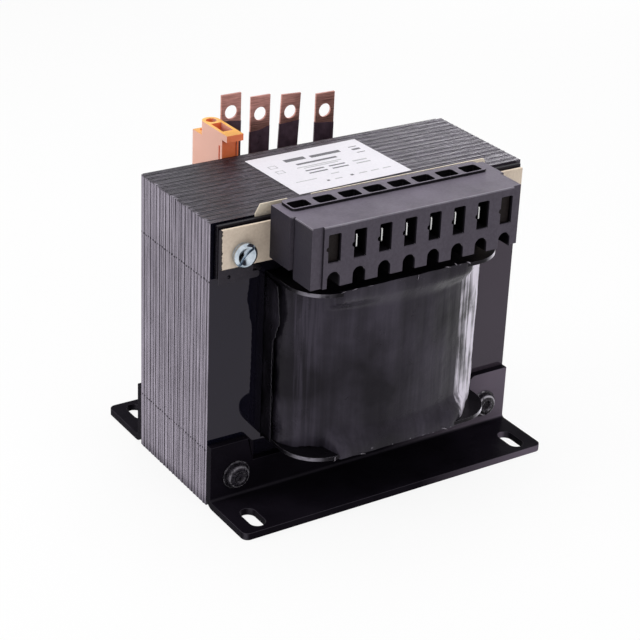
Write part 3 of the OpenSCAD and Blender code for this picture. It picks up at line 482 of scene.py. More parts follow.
def makePlastic(name):
    finish = {**usualPlastic, **plasticFinishes[name]}
    material, shader, place, spots, normal = newSurface(name)
    cloud = blotches(place, 80, 900)
    fine = times(plus(cloud["Cloud"], cloud["Speck"]), 0.5)
    colour = blend(fine, finish["dark"], finish["light"])
    # painted light: faces turned upward get a lighter tone of their own, as the light falls on the top, in patches that
    # are partly scuffs and partly sheen
    if "upward" in finish:
        scuffsAndSheen = remap(noiseNode(place, 55, detail=5, rough=0.65), 0.36, 0.66)
        scuffsAndSheen = plus(times(fine, 0.35), times(scuffsAndSheen, 0.65))
        tones = [tuple(min(1, part * share) for part in finish["upward"]) for share in (0.72, 1.3)]
        colour = blend(remap(normal["Z"], 0.35, 0.9), colour, blend(scuffsAndSheen, *tones))
    # painted light and shade: faces turned to the left get a tone of their own, shaded on the housing and washed out by
    # sheen on the orange block
    if "leftward" in finish:
        colour = blend(remap(normal["X"], -0.5, -0.9), colour, finish["leftward"])
    if "ragged" in finish:  # stained and torn along its left edge
        torn = times(minus(noiseNode(place, 900, detail=3), 0.5), finish["tear"])
        torn = remap(plus(spots["X"], torn), finish["ragged"], finish["ragged"] + 0.00018, 1, 0)
        colour = blend(torn, colour, finish["stain"])
    if "edge" in finish:
        colour = edgeHighlights(finish, colour, normal, spots, place)
    for limits in finish.get("shaded", []):
        colour = blend(times(insideRange(spots, limits), 0.94), colour, (0, 0, 0))
    for limits in finish.get("lit", []):
        share = times(insideRange(spots, limits), between(cloud["Cloud"], 0.3, 1.1))
        colour = blend(share, colour, finish["edge"])
    dress(shader, colour=colour, rough=remap(cloud["Cloud"], 0, 1, *finish["rough"]), gloss=finish["gloss"],
          tint=finish["tint"])
    addBump(shader, cloud["Speck"], finish["grain"], 0.0002)
    return material


def makeMetal(name):
    finish = metalFinishes[name]
    material, shader, place = newSurface(name)[:3]
    line = streaks(place, finish["lines"])
    tone = plus(times(line, 0.65), times(blotches(place, 160, 3000)["Cloud"], 0.35))
    dress(shader, colour=blend(tone, finish["dark"], finish["light"]), rough=remap(line, 0, 1, *finish["rough"]),
          metal=finish.get("metallic", 1))
    addBump(shader, line, finish.get("bump", 0.1), 0.0002)
    return material


filmFinish = {"base": (0.0006, 0.0004, 0.0012), "dustySheen": (0.04, 0.035, 0.049), "glintTone": (0.78, 0.73, 0.84),
              "rough": (0.24, 0.4), "gloss": 0.2, "broad": (22, 260), "close": (75, 900),
              "pulls": (150, 150, 12), "fine": (600, 600, 24), "sheenBandX": (-0.047, -0.043, -0.035),
              "sheenBandZ": (0.05, 0.09), "darkerRightX": (0.008, 0.034), "shineX": 0.03, "shineDepth": 0.0365,
              "footHem": (0.0268, 0.0254), "topHem": (0.0992, 0.1001), "hemDepth": 0.05}


def makeFilm():
    finish = filmFinish
    material, shader, place, spots, normal = newSurface("blackFilm")
    broad = blotches(place, *finish["broad"])["Cloud"]
    close = blotches(place, *finish["close"])["Cloud"]
    pulls, fine = streaks(place, finish["pulls"]), streaks(place, finish["fine"])
    # mottling and fine upright streaks, partly dust and partly painted sheen
    dustAndSheen = times(remap(broad, 0.3, 0.7, 0.05, 1), between(pulls, 0.45, 1.15),
                 between(close, 0.55, 1.15), between(fine, 0.8, 1.1), clamp=True)
    # painted sheen: light upright strokes along the left corner
    sheenBand = finish["sheenBandX"]
    leftSheen = times(remap(spots["X"], *sheenBand[:2]), remap(spots["X"], *sheenBand[1:], 1, 0),
                  remap(spots["Z"], *finish["sheenBandZ"], 0.3, 1), remap(fine, 0.4, 0.8, 0.1, 1.6))
    # the film gets a little darker towards the right, and takes the painted sheen at the left corner
    dustAndSheen = plus(times(dustAndSheen, remap(spots["X"], *finish["darkerRightX"], 1, 0.72)), leftSheen, clamp=True)
    dark = blend(dustAndSheen, finish["base"], finish["dustySheen"])
    # painted highlight: the film shines white where it turns the right-hand corners, frayed by its ripples
    turning = times(remap(normal["X"], 0.15, 0.6), between(remap(normal["Y"], 0, 0.2), 1, 0.45))
    frayed = plus(turning, times(minus(fine, 0.5), 0.6))
    frayed = plus(frayed, times(minus(close, 0.5), 0.7))
    deep = sizeOf(spots["Y"])
    shine = times(mathNode("POWER", remap(frayed, 0.15, 0.95), 1.5), above(deep, finish["shineDepth"]),
                  above(spots["X"], finish["shineX"]), between(remap(normal["X"], 0.82, 0.95), 1, 0.1))
    # painted highlights: bright specks along the hems
    hem = larger(remap(spots["Z"], *finish["footHem"]), remap(spots["Z"], *finish["topHem"]))
    specks = remap(noiseNode(place, 420, detail=3), 0.61, 0.71, 0, 0.4)
    hem = times(hem, specks, above(deep, finish["hemDepth"]))
    dress(shader, colour=blend(larger(shine, hem), dark, finish["glintTone"]),
          rough=remap(close, 0, 1, *finish["rough"]), gloss=finish["gloss"], tint=coreFinish["tint"])
    addBump(shader, plus(times(pulls, 0.7), close), 0.22, 0.001)
    return material


def slotCalled(finishName):  # orangePlastic is the finish of the slot orange_plastic
    return "".join("_" + letter.lower() if letter.isupper() else letter for letter in finishName)


surfaces = {"core_lacquer": makeCoreLacquer(), "black_film": makeFilm()}
for maker, finishes in ((makePaint, paintFinishes), (makePlastic, plasticFinishes), (makeMetal, metalFinishes)):
    for finishName in finishes:
        surfaces[slotCalled(finishName)] = maker(finishName)
slotOfNode = {part["node"]: part.get("material_slot", part["node"]) for part in frame["record"]["subparts"]}
for nodeName, nodeObject in nodes.items():
    nodeObject.data.materials.clear()
    nodeObject.data.materials.append(surfaces[slotOfNode[nodeName]])
print("surfaces made:", len(surfaces))

# shape tools


def newShapeGroup(name, inputs):  # takes a guide mesh, named sizes and a finish
    inputs = [("Guide", "Geometry"), *inputs, ("Finish", "Material")]
    return newGroup(name, "GeometryNodeTree", inputs, [("Shape", "Geometry")])


def endShapeGroup(shape, finish, end):  # real geometry with its finish on it
    real = nodeAfter("GeometryNodeRealizeInstances", {0: shape})[0]
    feed(nodeAfter("GeometryNodeSetMaterial", {"Geometry": real, "Material": finish})[0], end[0])


def openMesh(mesh):
    work = bmesh.new()
    work.from_mesh(mesh)
    return work


def closeMesh(work, mesh):
    work.to_mesh(mesh)
    work.free()


def newPiece(name, work):  # an object made of what is in a bmesh
    mesh = bpy.data.meshes.new(name)
    closeMesh(work, mesh)
    return newObject(name, mesh)


def convertShape(piece):  # replaces the piece's mesh by what its modifiers make of it
    bpy.context.view_layer.update()
    evaluated = piece.evaluated_get(bpy.context.evaluated_depsgraph_get())
    made = bpy.data.meshes.new_from_object(evaluated)
    piece.modifiers.clear()
    piece.data = made


def modify(piece, kind, **settings):  # one modifier, made real at once
    withSettings(piece.modifiers.new(kind.lower(), kind), settings)
    convertShape(piece)


def growPiece(name, group, guide, values):
    piece = newObject(name, guide)
    modifier = piece.modifiers.new("shape", "NODES")
    modifier.node_group = group
    for item in group.interface.items_tree:
        if item.in_out == "INPUT" and item.name in values:
            modifier[item.identifier] = values[item.name]
    convertShape(piece)
    return piece


def tidyMesh(mesh, gap, turnOut=True):
    work = openMesh(mesh)
    bmesh.ops.remove_doubles(work, verts=work.verts, dist=gap)
    if turnOut:
        bmesh.ops.recalc_face_normals(work, faces=work.faces)
    closeMesh(work, mesh)


def smoothByAngle(mesh, degrees):
    work = openMesh(mesh)
    for face in work.faces:
        face.smooth = True
    for edge in work.edges:
        edge.smooth = len(edge.link_faces) == 2 and edge.calc_face_angle(0.0) < math.radians(degrees)
    closeMesh(work, mesh)


def softenEdges(piece, width, steps=2, **settings):
    modify(piece, "BEVEL", width=width, segments=steps, limit_method="ANGLE", angle_limit=math.radians(40), **settings)


def finishPiece(piece, slotName, replaced=(), finish=None):  # its surface, taken from its slot unless a finish is given, its body and the solids it stands for
    piece.data.materials.clear()
    piece.data.materials.append(finish or surfaces[slotName])
    for face in piece.data.polygons:
        face.material_index = 0
    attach(piece, "root")
    if replaced:
        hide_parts(*replaced)


def bevelledCopy(pieceName, nodeName, width, steps=2):
    work = openMesh(nodes[nodeName].data)
    bmesh.ops.remove_doubles(work, verts=work.verts, dist=1e-6)
    bmesh.ops.dissolve_limit(work, angle_limit=math.radians(0.5), verts=work.verts, edges=work.edges)
    piece = newPiece(pieceName, work)
    softenEdges(piece, width, steps, use_clamp_overlap=True)
    smoothByAngle(piece.data, 50)
    modify(piece, "WEIGHTED_NORMAL", keep_sharp=True, weight=100)
    finishPiece(piece, slotOfNode[nodeName], [nodeName])


def meshOfPoints(name, places, joined=False, closed=False, **attributes):
    mesh = bpy.data.meshes.new(name)
    count = len(places)
    edges = [(index, (index + 1) % count) for index in range(count if closed else count - 1)] if joined else []
    mesh.from_pydata(places, edges, [])
    for label, numbers in attributes.items():
        mesh.attributes.new(label, "FLOAT", "POINT").data.foreach_set("value", numbers)
    return mesh


# film and shrink sleeve, laid along a path


def alongAxis(**parts):  # a vector from what it has along x, y and z
    return nodeAfter("ShaderNodeCombineXYZ", {axis.upper(): value for axis, value in parts.items()})[0]


def smoothMask(value, low, high):
    return remap(value, low, high, interpolation_type="SMOOTHSTEP")


def shapeNoise(vector, scale, seed, detail):  # round about 0
    spread = vectorNode("MULTIPLY", vector, scale)
    inputs = {"Vector": spread, "W": seed, "Scale": 1.0, "Detail": detail}
    return minus(nodeAfter("ShaderNodeTexNoise", inputs, noise_dimensions="4D")["Fac"], 0.5)


filmSizes = (
    "Low", "High", "Slope", "Lean", "Middle", "Pull", "Crease", "Corner Crease", "Edge Wave", "Curl", "End Wave",
    "End Bend", "Flat Depth", "Flange Depth", "Hang From", "Hang To", "Top From", "Top To", "Raise", "Drop", "Seed")
filmWaves = {  # waves for each metre along each axis, shift of the seed, and detail
    "pulls": ((110, 110, 16), 0.0, 2.0), "creases": ((60, 60, 55), 3.7, 3.0), "ripples": ((170, 170, 95), 8.1, 3.0),
    "edges": ((150, 150, 0), 5.3, 3.0), "curls": ((70, 70, 0), 6.9, 2.0), "ends": ((0, 0, 60), 2.2, 2.0)}


def makeWrapGroup():  # a thin sheet that stands on a path, pulled tight, with wavy edges
    group, value, end = newShapeGroup("filmOnPath", [
        ("Columns", "Int"), ("Rows", "Int"), ("Fade", "Float", 0.003), *((label, "Float", 0.0) for label in filmSizes)])
    sheet = nodeAfter("GeometryNodeMeshGrid", {
        "Size X": 1.0, "Size Y": 1.0, "Vertices X": value["Columns"], "Vertices Y": value["Rows"]})[0]
    spot = axisParts(newNode(group, "GeometryNodeInputPosition").outputs[0])
    along, upward = plus(spot["X"], 0.5), plus(spot["Y"], 0.5)
    downward = minus(1.0, upward)
    path = nodeAfter("GeometryNodeMeshToCurve", {0: value["Guide"]})[0]
    sample = nodeAfter("GeometryNodeSampleCurve", {"Curves": path, "Factor": along}, mode="FACTOR", use_all_curves=True)
    tangent, start = sample["Tangent"], sample["Position"]
    outward = vectorNode("NORMALIZE", vectorNode("CROSS_PRODUCT", tangent, (0, 0, 1)))
    place = axisParts(start)
    height = plus(times(upward, minus(value["High"], value["Low"])), value["Low"])
    point = vectorNode("ADD", start, alongAxis(z=height))
    nearTop = smoothMask(upward, 0.93, 1.0)
    nearFoot = smoothMask(downward, 0.94, 1.0)
    nearEnd = smoothMask(sizeOf(spot["X"]), 0.36, 0.5)
    free = smoothMask(sizeOf(place["Y"]), value["Flat Depth"], plus(value["Flat Depth"], 0.004))
    corner = smoothMask(sizeOf(place["X"]), 0.034, 0.046)
    wave = {name: shapeNoise(point, scale, plus(value["Seed"], shift), detail)
            for name, (scale, shift, detail) in filmWaves.items()}
    # long upright pulls, short creases, and ripples where the film turns the corner
    depth = times(wave["pulls"], value["Pull"])
    depth = plus(times(wave["creases"], value["Crease"]), depth)
    depth = plus(times(wave["ripples"], corner, value["Corner Crease"]), depth)
    curl = times(larger(nearTop, nearFoot), wave["curls"], value["Curl"])
    depth = times(plus(depth, curl), free)
    endNoise = times(nearEnd, wave["ends"])
    depth = plus(depth, times(endNoise, value["End Bend"]))
    moved = vectorNode("ADD", point, scaled(outward, depth))
    endShift = times(endNoise, value["End Wave"])
    moved = vectorNode("ADD", moved, scaled(tangent, endShift))
    # along part of the front the film is pulled over the flanges above and below it
    onFront = smoothMask(times(place["Y"], -1.0), 0.03, 0.045)
    pulls, ends = [], []
    for word, near, low in (("Top", upward, 0.86), ("Hang", downward, 0.87)):
        first, last = value[word + " From"], times(value[word + " To"], -1.0)
        after = smoothMask(place["X"], first, plus(first, 0.003))
        before = smoothMask(times(place["X"], -1.0), last, plus(last, value["Fade"]))
        share = times(after, before, onFront)
        pulls.append(times(share, smoothMask(near, low, 0.98)))
        ends.append(times(share, smoothMask(near, 0.95, 1.0)))
    shortOf = plus(place["Y"], value["Flange Depth"])
    overFlange = times(larger(*pulls), shortOf, -1.0)
    moved = vectorNode("ADD", moved, alongAxis(y=overFlange))
    reach = minus(times(ends[0], value["Raise"]), times(ends[1], value["Drop"]))
    # the cut ends: a slope and a wave, and the lean of what the film stands on
    lift = times(minus(place["X"], value["Middle"]), value["Slope"])
    held = plus(times(larger(*ends), -0.84), 1.0)
    ragged = times(wave["edges"], value["Edge Wave"], held)
    lift = times(plus(mathNode("MINIMUM", ragged, 0.00015), lift), nearTop)
    rise = times(larger(ragged, -0.00015), nearFoot)
    lean = times(minus(height, value["Low"]), value["Lean"])
    shift = alongAxis(x=lean, z=plus(plus(lift, rise), reach))
    placed = nodeAfter("GeometryNodeSetPosition", {"Geometry": sheet, "Position": vectorNode("ADD", moved, shift)})[0]
    endShapeGroup(placed, value["Finish"], end)
    return group


wrapGroup = makeWrapGroup()


def layFilm(pieceName, places, closed, slotName, thickness, replaced, low, high, sizes):
    guide = meshOfPoints(pieceName + "Guide", places, joined=True, closed=closed)
    piece = growPiece(pieceName, wrapGroup, guide, {"Low": low, "High": high, "Finish": surfaces[slotName], **sizes})
    tidyMesh(piece.data, 1e-5, turnOut=False)
    modify(piece, "SOLIDIFY", thickness=thickness, offset=-1.0)
    tidyMesh(piece.data, 1e-7)
    smoothByAngle(piece.data, 50)
    finishPiece(piece, slotName, replaced)


def outlineOf(nodeName, inward):  # the outer outline of a solid, seen from above, as a closed path
    corners = sorted(set((round(vertex.co.x, 6), round(vertex.co.y, 6)) for vertex in nodes[nodeName].data.vertices))
    ring = [Vector(corners[index]) for index in geometry.convex_hull_2d(corners)]
    if sum(first.x * second.y - second.x * first.y for first, second in zip(ring, ring[1:] + ring[:1])) < 0:
        ring.reverse()
    moved = []
    for before, here, after in zip(ring[-1:] + ring[:-1], ring, ring[1:] + ring[:1]):
        direction = (after - before).normalized()
        moved.append((here.x - direction.y * inward, here.y + direction.x * inward, 0.0))
    return moved


coilFilm = {
    "Columns": 520, "Rows": 130, "Pull": 0.0005, "Crease": 0.0006, "Corner Crease": 0.0013, "Edge Wave": 0.0045,
    "Curl": 0.0012, "Flat Depth": 0.031, "Seed": 4.0, "Flange Depth": 0.05975, "Hang From": -0.034, "Hang To": 0.043,
    "Fade": 0.02, "Top From": -0.036, "Top To": 0.044, "Raise": 0.0024, "Drop": 0.0022}
windowFilm = {"Columns": 60, "Rows": 90, "End Wave": 0.007, "End Bend": 0.0012, "Seed": 11.0}
# each layer's thickness, and how far it stands inside the coil's own outline
filmLayers = {"outer": {"thick": 0.0003, "inset": 0.0002}, "under": {"thick": 0.0002, "inset": 0.0009, "short": 0.0001}}
filmEdge = {  # height and depth of the free edge at the left window
    "corners": [(0.0274, -0.0368), (0.039, -0.0366), (0.06, -0.0362), (0.0716, -0.0363), (0.077, -0.0386),
                (0.083, -0.0409), (0.09, -0.0399), (0.0977, -0.0388)],
    "x": -0.0497, "rootY": -0.0345, "bend": 0.0006, "rimWide": 0.00022, "thickness": 0.0002, "steps": 90,
    "waves": [(0.00018, 1900, 0), (0.00012, 4700, 1)]}  # height, rate and start of each wave
sleeveFilm = {"Columns": 90, "Rows": 60, "Pull": 0.00012, "Crease": 0.00012, "Edge Wave": 0.0022, "Curl": 0.0003}
sleeveRing = {"halfWide": 0.005, "halfDeep": 0.00078, "roundness": 0.0006, "points": 32, "thickness": 0.0002}
barPlaces = [(-0.0225, -4, 0.0), (-0.0083, 9, 0.4), (0.0055, 1, 2.6), (0.0248, -6, 0.3)]  # middle, slope and lean


def makeCoilFilm():
    low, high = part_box("outer_wrap")
    outer, under = filmLayers["outer"], filmLayers["under"]
    layFilm("coilFilm", outlineOf("outer_wrap", outer["inset"]), True, "black_film", outer["thick"], ["outer_wrap"],
            low[2], high[2], coilFilm)
    # a plain one closes the gaps behind it
    layFilm("coilUnderFilm", outlineOf("outer_wrap", under["inset"]), True, "black_film", under["thick"], [],
            low[2] + under["short"], high[2] - under["short"], {"Columns": 260, "Rows": 8})


def makeWindowFilm():
    low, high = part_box("window_liners")
    thickness = filmLayers["outer"]["thick"]
    middle = high[0] - thickness / 2
    for side, pieceName, replaced in ((-1, "leftWindowFilm", ["window_liners"]), (1, "rightWindowFilm", [])):
        places = [(side * middle, y, 0) for y in (-side * high[1], side * high[1])]
        layFilm(pieceName, places, False, "black_film", thickness, replaced, low[2], high[2], windowFilm)


def freeEdge(height):
    for (lowZ, lowY), (highZ, highY) in zip(filmEdge["corners"], filmEdge["corners"][1:]):
        if height <= highZ:
            share = (height - lowZ) / (highZ - lowZ)
            share = share * share * (3 - 2 * share)
            wave = sum(size * math.sin(height * rate + begin) for size, rate, begin in filmEdge["waves"])
            return lowY + (highY - lowY) * share + wave
    return filmEdge["corners"][-1][1]


def sheetBetween(pieceName, rows, finish):  # a sheet through rows of points, given some body
    work = bmesh.new()
    grid = [[work.verts.new(point) for point in row] for row in rows]
    for first, second in zip(grid, grid[1:]):
        for step in range(len(first) - 1):
            work.faces.new([first[step], first[step + 1], second[step + 1], second[step]])
    piece = newPiece(pieceName, work)
    modify(piece, "SOLIDIFY", thickness=filmEdge["thickness"], offset=0.0)
    tidyMesh(piece.data, 1e-7)
    smoothByAngle(piece.data, 50)
    finishPiece(piece, "black_film", finish=finish)


def makeWindowFlap():
    footZ, topZ = filmEdge["corners"][0][0], filmEdge["corners"][-1][0]
    x, rootY, bend = filmEdge["x"], filmEdge["rootY"], filmEdge["bend"]
    flapRows, rimRows = [], []
    for step in range(filmEdge["steps"]):
        height = footZ + (topZ - footZ - 0.0001) * step / (filmEdge["steps"] - 1)
        edgeY = freeEdge(height)
        flapRows.append([(x - bend * share ** 2, rootY + (edgeY - rootY) * share, height)
                         for share in (0, 0.2, 0.4, 0.6, 0.8, 1.0)])
        rimRows.append([(x - bend - 0.00012, edgeY + offset, height) for offset in (0.0, -filmEdge["rimWide"])])
    sheetBetween("windowFlap", flapRows, surfaces["black_film"])
    # painted highlight: a thin strip of a lighter film finish along the flap's free edge
    sheetBetween("windowFlapRim", rimRows, surfaces["film_fold"])


def makeSleeves():
    wide, deep, roundness = sleeveRing["halfWide"], sleeveRing["halfDeep"], sleeveRing["roundness"]
    for number, (barX, slope, lean) in enumerate(barPlaces, 1):
        nodeName = "busbar_sleeve_%d" % number
        low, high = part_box(nodeName)
        middleY = (low[1] + high[1]) / 2
        ring = []
        for step in range(sleeveRing["points"]):
            angle = 2 * math.pi * (step + 0.5) / sleeveRing["points"]
            across, inward = math.cos(angle), math.sin(angle)
            ring.append((barX + math.copysign(wide - roundness, across) + roundness * across,
                         middleY + math.copysign(deep - roundness, inward) + roundness * inward, 0))
        rise = math.tan(math.radians(slope))
        sizes = {"Slope": rise, "Lean": math.tan(math.radians(lean)), "Middle": barX, "Seed": 20.0 + number}
        layFilm("barSleeve%d" % number, ring, True, "shrink_sleeve", sleeveRing["thickness"], [nodeName],
                low[2], high[2] - abs(rise) * wide, {**sleeveFilm, **sizes})


makeCoilFilm()
makeWindowFilm()
makeWindowFlap()
makeSleeves()
print("film and sleeves laid")

# pieces with worked edges

workedEdges = [  # piece, solid it stands for, width of its edge, steps
    ("frontFoot", "front_bracket", 0.0005, 3), ("rearFoot", "rear_bracket", 0.0005, 3),
    ("upperFrontStrap", "front_strap", 0.0003, 2), ("upperRearStrap", "rear_strap", 0.0003, 2),
    ("blockBase", "terminal_base", 0.0003, 2), ("blockFront", "terminal_housing", 0.0003, 2),
    ("carrierPlate", "terminal_carrier", 0.0002, 2), ("boardPlate", "terminal_board", 0.00012, 2),
    ("orangeBlock", "rear_terminal_block", 0.0003, 3), ("coilBobbin", "bobbin", 0.0005, 3),
    ("barrierPlate", "barrier_sheet", 0.0001, 1)]
workedEdges += [("copperBar%d" % number, "busbar_%d" % number, 0.00012, 2) for number in (1, 2, 3, 4)]
for workedPiece in workedEdges:
    bevelledCopy(*workedPiece)
print("worked edges made")

# turned parts, tabs and label marks, repeated at their places


def makeRepeatGroup():  # stands a shape at each point of the guide, turned about Y and sized by the point's numbers
    group, value, end = newShapeGroup("shapeAtPlaces", [("Shape", "Object")])
    shape = nodeAfter("GeometryNodeObjectInfo", {"Object": value["Shape"]}, transform_space="ORIGINAL")["Geometry"]
    turn, wide, deep, tall = (
        newNode(group, "GeometryNodeInputNamedAttribute", {"Name": label}, data_type="FLOAT").outputs["Attribute"]
        for label in ("turn", "wide", "deep", "tall"))
    copies = nodeAfter("GeometryNodeInstanceOnPoints", {
        "Points": value["Guide"], "Instance": shape, "Rotation": alongAxis(y=turn),
        "Scale": alongAxis(x=wide, y=deep, z=tall)})[0]
    endShapeGroup(copies, value["Finish"], end)
    return group


repeatGroup = makeRepeatGroup()


def placeShapes(pieceName, shape, places, finish, **numbers):  # numbers: turn, wide, deep and tall of each place
    usual = {"turn": 0.0, "wide": 1.0, "deep": 1.0, "tall": 1.0}
    lists = {label: numbers.get(label, [value] * len(places)) for label, value in usual.items()}
    guide = meshOfPoints(pieceName + "Guide", places, **lists)
    piece = growPiece(pieceName, repeatGroup, guide, {"Shape": shape, "Finish": finish})
    bpy.data.objects.remove(shape)
    return piece


def repeatShape(pieceName, shape, places, slotName, nodeName, **numbers):
    piece = placeShapes(pieceName, shape, places, surfaces[slotName], **numbers)
    smoothByAngle(piece.data, 34)
    finishPiece(piece, slotName, [nodeName])


def turnedShape(name, profile, sides=48):  # a closed profile of (radius, distance to the front), spun about Y
    work = bmesh.new()
    angles = [2 * math.pi * step / sides for step in range(sides)]
    rings = []
    for radius, front in profile:
        spun = angles if radius else [0]
        rings.append([work.verts.new((radius * math.cos(angle), -front, radius * math.sin(angle))) for angle in spun])
    closed = profile[0][0] > 0
    for first, second in zip(rings, rings[1:] + (rings[:1] if closed else [])):
        for step in range(sides):
            after = (step + 1) % sides
            corners = [ring[place % len(ring)] for ring, place in (
                (first, step), (first, after), (second, after), (second, step))]
            corners = list(dict.fromkeys(corners))
            if len(corners) > 2:
                work.faces.new(corners)
    bmesh.ops.recalc_face_normals(work, faces=work.faces)
    return newPiece(name, work)


def boxMesh(name, low, high):
    work = bmesh.new()
    bmesh.ops.create_cube(work, size=1.0)
    for vertex in work.verts:
        vertex.co = Vector([low[axis] if vertex.co[axis] < 0 else high[axis] for axis in range(3)])
    return newPiece(name, work)


def loftedShape(name, rings):  # skins rings of points that all have the same number of points, and closes both ends
    work = bmesh.new()
    loops = [[work.verts.new(point) for point in ring] for ring in rings]
    for first, second in zip(loops, loops[1:]):
        for step in range(len(first)):
            after = (step + 1) % len(first)
            work.faces.new([first[step], first[after], second[after], second[step]])
    work.faces.new(loops[0])
    work.faces.new(loops[-1])
    bmesh.ops.recalc_face_normals(work, faces=work.faces)
    return newPiece(name, work)


def roundOver(inner, outer, height, drop, steps):  # from the flat of a head, round to its rim
    angles = [math.pi / 2 * step / steps for step in range(1, steps + 1)]
    return [(inner + (outer - inner) * math.sin(angle), height - drop * (1 - math.cos(angle))) for angle in angles]


def shaftUnder(radius, rim, shaft, end, cut):  # the underside of a head, and the shaft to its cut end
    return [(radius, rim), (radius - rim, 0.0), (shaft, 0.0), (shaft, end + cut), (shaft - cut, end), (0, end)]


# in metres; fall is how far the rounded brim of a head drops, and cut the bevel at the end of its shaft
upperScrew = {"x": 0.063, "z": 0.112, "headRadius": 0.0052, "headHeight": 0.0026, "dishRadius": 0.0038,
              "dishDepth": 0.0011, "fall": 0.0011, "steps": 6, "rim": 0.0004, "slotWide": 0.0012, "slotDeep": 0.0018,
              "slotHalfLong": 0.008, "shaft": 0.0024, "cut": 0.0005, "sides": 56, "edge": 0.00012,
              "turns": (-45, -20)}
lowerBolt = {"x": 0.063, "z": 0.013, "headRadius": 0.0053, "headHeight": 0.0028, "socket": 0.0023,
             "socketDepth": 0.0012, "lip": 0.0003, "lipDrop": 0.0004, "fall": 0.002, "steps": 7, "rim": 0.0002,
             "shaft": 0.0029, "cut": 0.0006}
washers = [  # piece, solids, radius, radius of the hole, thickness, what it sits on, slot
    ("upperWashers", "terminal_screw_washers", 0.0049, 0.0026, 0.0006, upperScrew, "zinc_steel"),
    ("lowerWashers", "core_bolt_washers", 0.0062, 0.0032, 0.0008, lowerBolt, "varnished_steel")]
washerEdge = 0.00025


def bothSides(bolt, *depths):  # its places at the left and the right
    return [(side * bolt["x"], y, bolt["z"]) for side in (-1, 1) for y in depths]


def makeUpperScrews():
    low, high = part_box("terminal_screws")
    radius, height, dish = upperScrew["headRadius"], upperScrew["headHeight"], upperScrew["dishRadius"]
    seatY = low[1] + height
    profile = []
    for step in range(upperScrew["steps"] + 1):
        share = step / upperScrew["steps"]
        profile.append((dish * share, height - upperScrew["dishDepth"] * (1 - share ** 2)))
    profile += roundOver(dish, radius, height, upperScrew["fall"], upperScrew["steps"])
    profile += shaftUnder(radius, upperScrew["rim"], upperScrew["shaft"], seatY - high[1], upperScrew["cut"])
    shape = turnedShape("screwShape", profile, upperScrew["sides"])
    half, long = upperScrew["slotWide"] / 2, upperScrew["slotHalfLong"]
    cutter = boxMesh("slotCut", (-long, -height - 0.001, -half), (long, -height + upperScrew["slotDeep"], half))
    modify(shape, "BOOLEAN", operation="DIFFERENCE", solver="EXACT", object=cutter)
    bpy.data.objects.remove(cutter)
    softenEdges(shape, upperScrew["edge"])
    turns = [math.radians(turn) for turn in upperScrew["turns"]]
    repeatShape("upperScrews", shape, bothSides(upperScrew, seatY), "zinc_steel", "terminal_screws", turn=turns)


def makeLowerBolts():
    low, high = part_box("core_bolts")
    radius, height, socket = lowerBolt["headRadius"], lowerBolt["headHeight"], lowerBolt["socket"]
    seatY, floor, lip = low[1] + height, height - lowerBolt["socketDepth"], lowerBolt["lip"]
    profile = [(0, floor), (socket * 0.75, floor), (socket, height - lowerBolt["lipDrop"]), (socket + lip, height)]
    profile += roundOver(socket + 2 * lip, radius, height, lowerBolt["fall"], lowerBolt["steps"])
    profile += shaftUnder(radius, lowerBolt["rim"], lowerBolt["shaft"], seatY - high[1], lowerBolt["cut"])
    shape = turnedShape("boltShape", profile)
    repeatShape("lowerBolts", shape, bothSides(lowerBolt, seatY), "varnished_steel", "core_bolts")


def makeWashers(pieceName, nodeName, radius, hole, thickness, bolt, slotName):
    low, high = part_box(nodeName)
    edge = min(washerEdge, thickness / 3)
    shape = turnedShape(pieceName + "Shape", [
        (hole, 0.0), (hole, thickness), (radius - edge, thickness), (radius, thickness - edge), (radius, edge),
        (radius - edge, 0.0)])
    repeatShape(pieceName, shape, bothSides(bolt, low[1] + thickness, high[1]), slotName, nodeName)


makeUpperScrews()
makeWashers(*washers[0])
makeLowerBolts()
makeWashers(*washers[1])
for pieceName, nodeName in (
        ("springWashers", "core_lock_washers"), ("lowerNuts", "core_nuts"), ("upperNuts", "terminal_nuts")):
    bevelledCopy(pieceName, nodeName, 0.0003)

filmFold = {"y": -0.0601, "steps": 12, "sag": 0.28, "unit": (0.001, 0.0006, 0.001), "places": [
    # x, height, turn in degrees, length and width in mm
    (-33.5, 100.4, 12, 2.2, 0.45), (-28.4, 100.5, 8, 2.6, 0.4), (-21, 100.4, -5, 2.8, 0.35), (1.6, 99, 80, 2.6, 0.4),
    (16, 100.6, -16, 3.4, 0.6), (20, 101, -40, 2.0, 0.5), (26.5, 100.4, -30, 2.6, 0.7), (-34, 26.4, 85, 2.0, 0.5),
    (-20.5, 25.2, -14, 3.2, 0.4), (20.5, 25.8, -24, 3.4, 0.5)]}


def makeFilmFolds():  # lit scraps and folds along the film's edges
    rings = []
    for step in range(filmFold["steps"] + 1):
        share = step / filmFold["steps"]
        half = 0.5 * math.sin(math.pi * share) ** 0.7 + 0.02
        sag = filmFold["sag"] * (1 - (2 * share - 1) ** 2)
        ring = [(-0.22 * sag - 0.05, half), (-0.5 * half - 0.1, 0), (0.1, -half), (0.25, 0)]
        rings.append([Vector((share - 0.5, y, sag - 0.5 + z)) * Vector(filmFold["unit"]) for y, z in ring])
    x, height, turn, length, width = zip(*filmFold["places"])
    places = [(across / 1000, filmFold["y"], up / 1000) for across, up in zip(x, height)]
    finish = surfaces["film_scrap"]
    piece = placeShapes("filmFolds", loftedShape("foldShape", rings), places, finish,
                        turn=[-math.radians(angle) for angle in turn], wide=length, tall=[size * 0.6 for size in width])
    smoothByAngle(piece.data, 60)
    finishPiece(piece, "black_film", finish=finish)


tabBlade = {"halfTall": 0.003175, "length": 0.0155, "thickness": 0.0008, "tipCut": 0.0011, "steps": 4, "edge": 0.00018,
            "pitch": 0.0117, "count": 6}


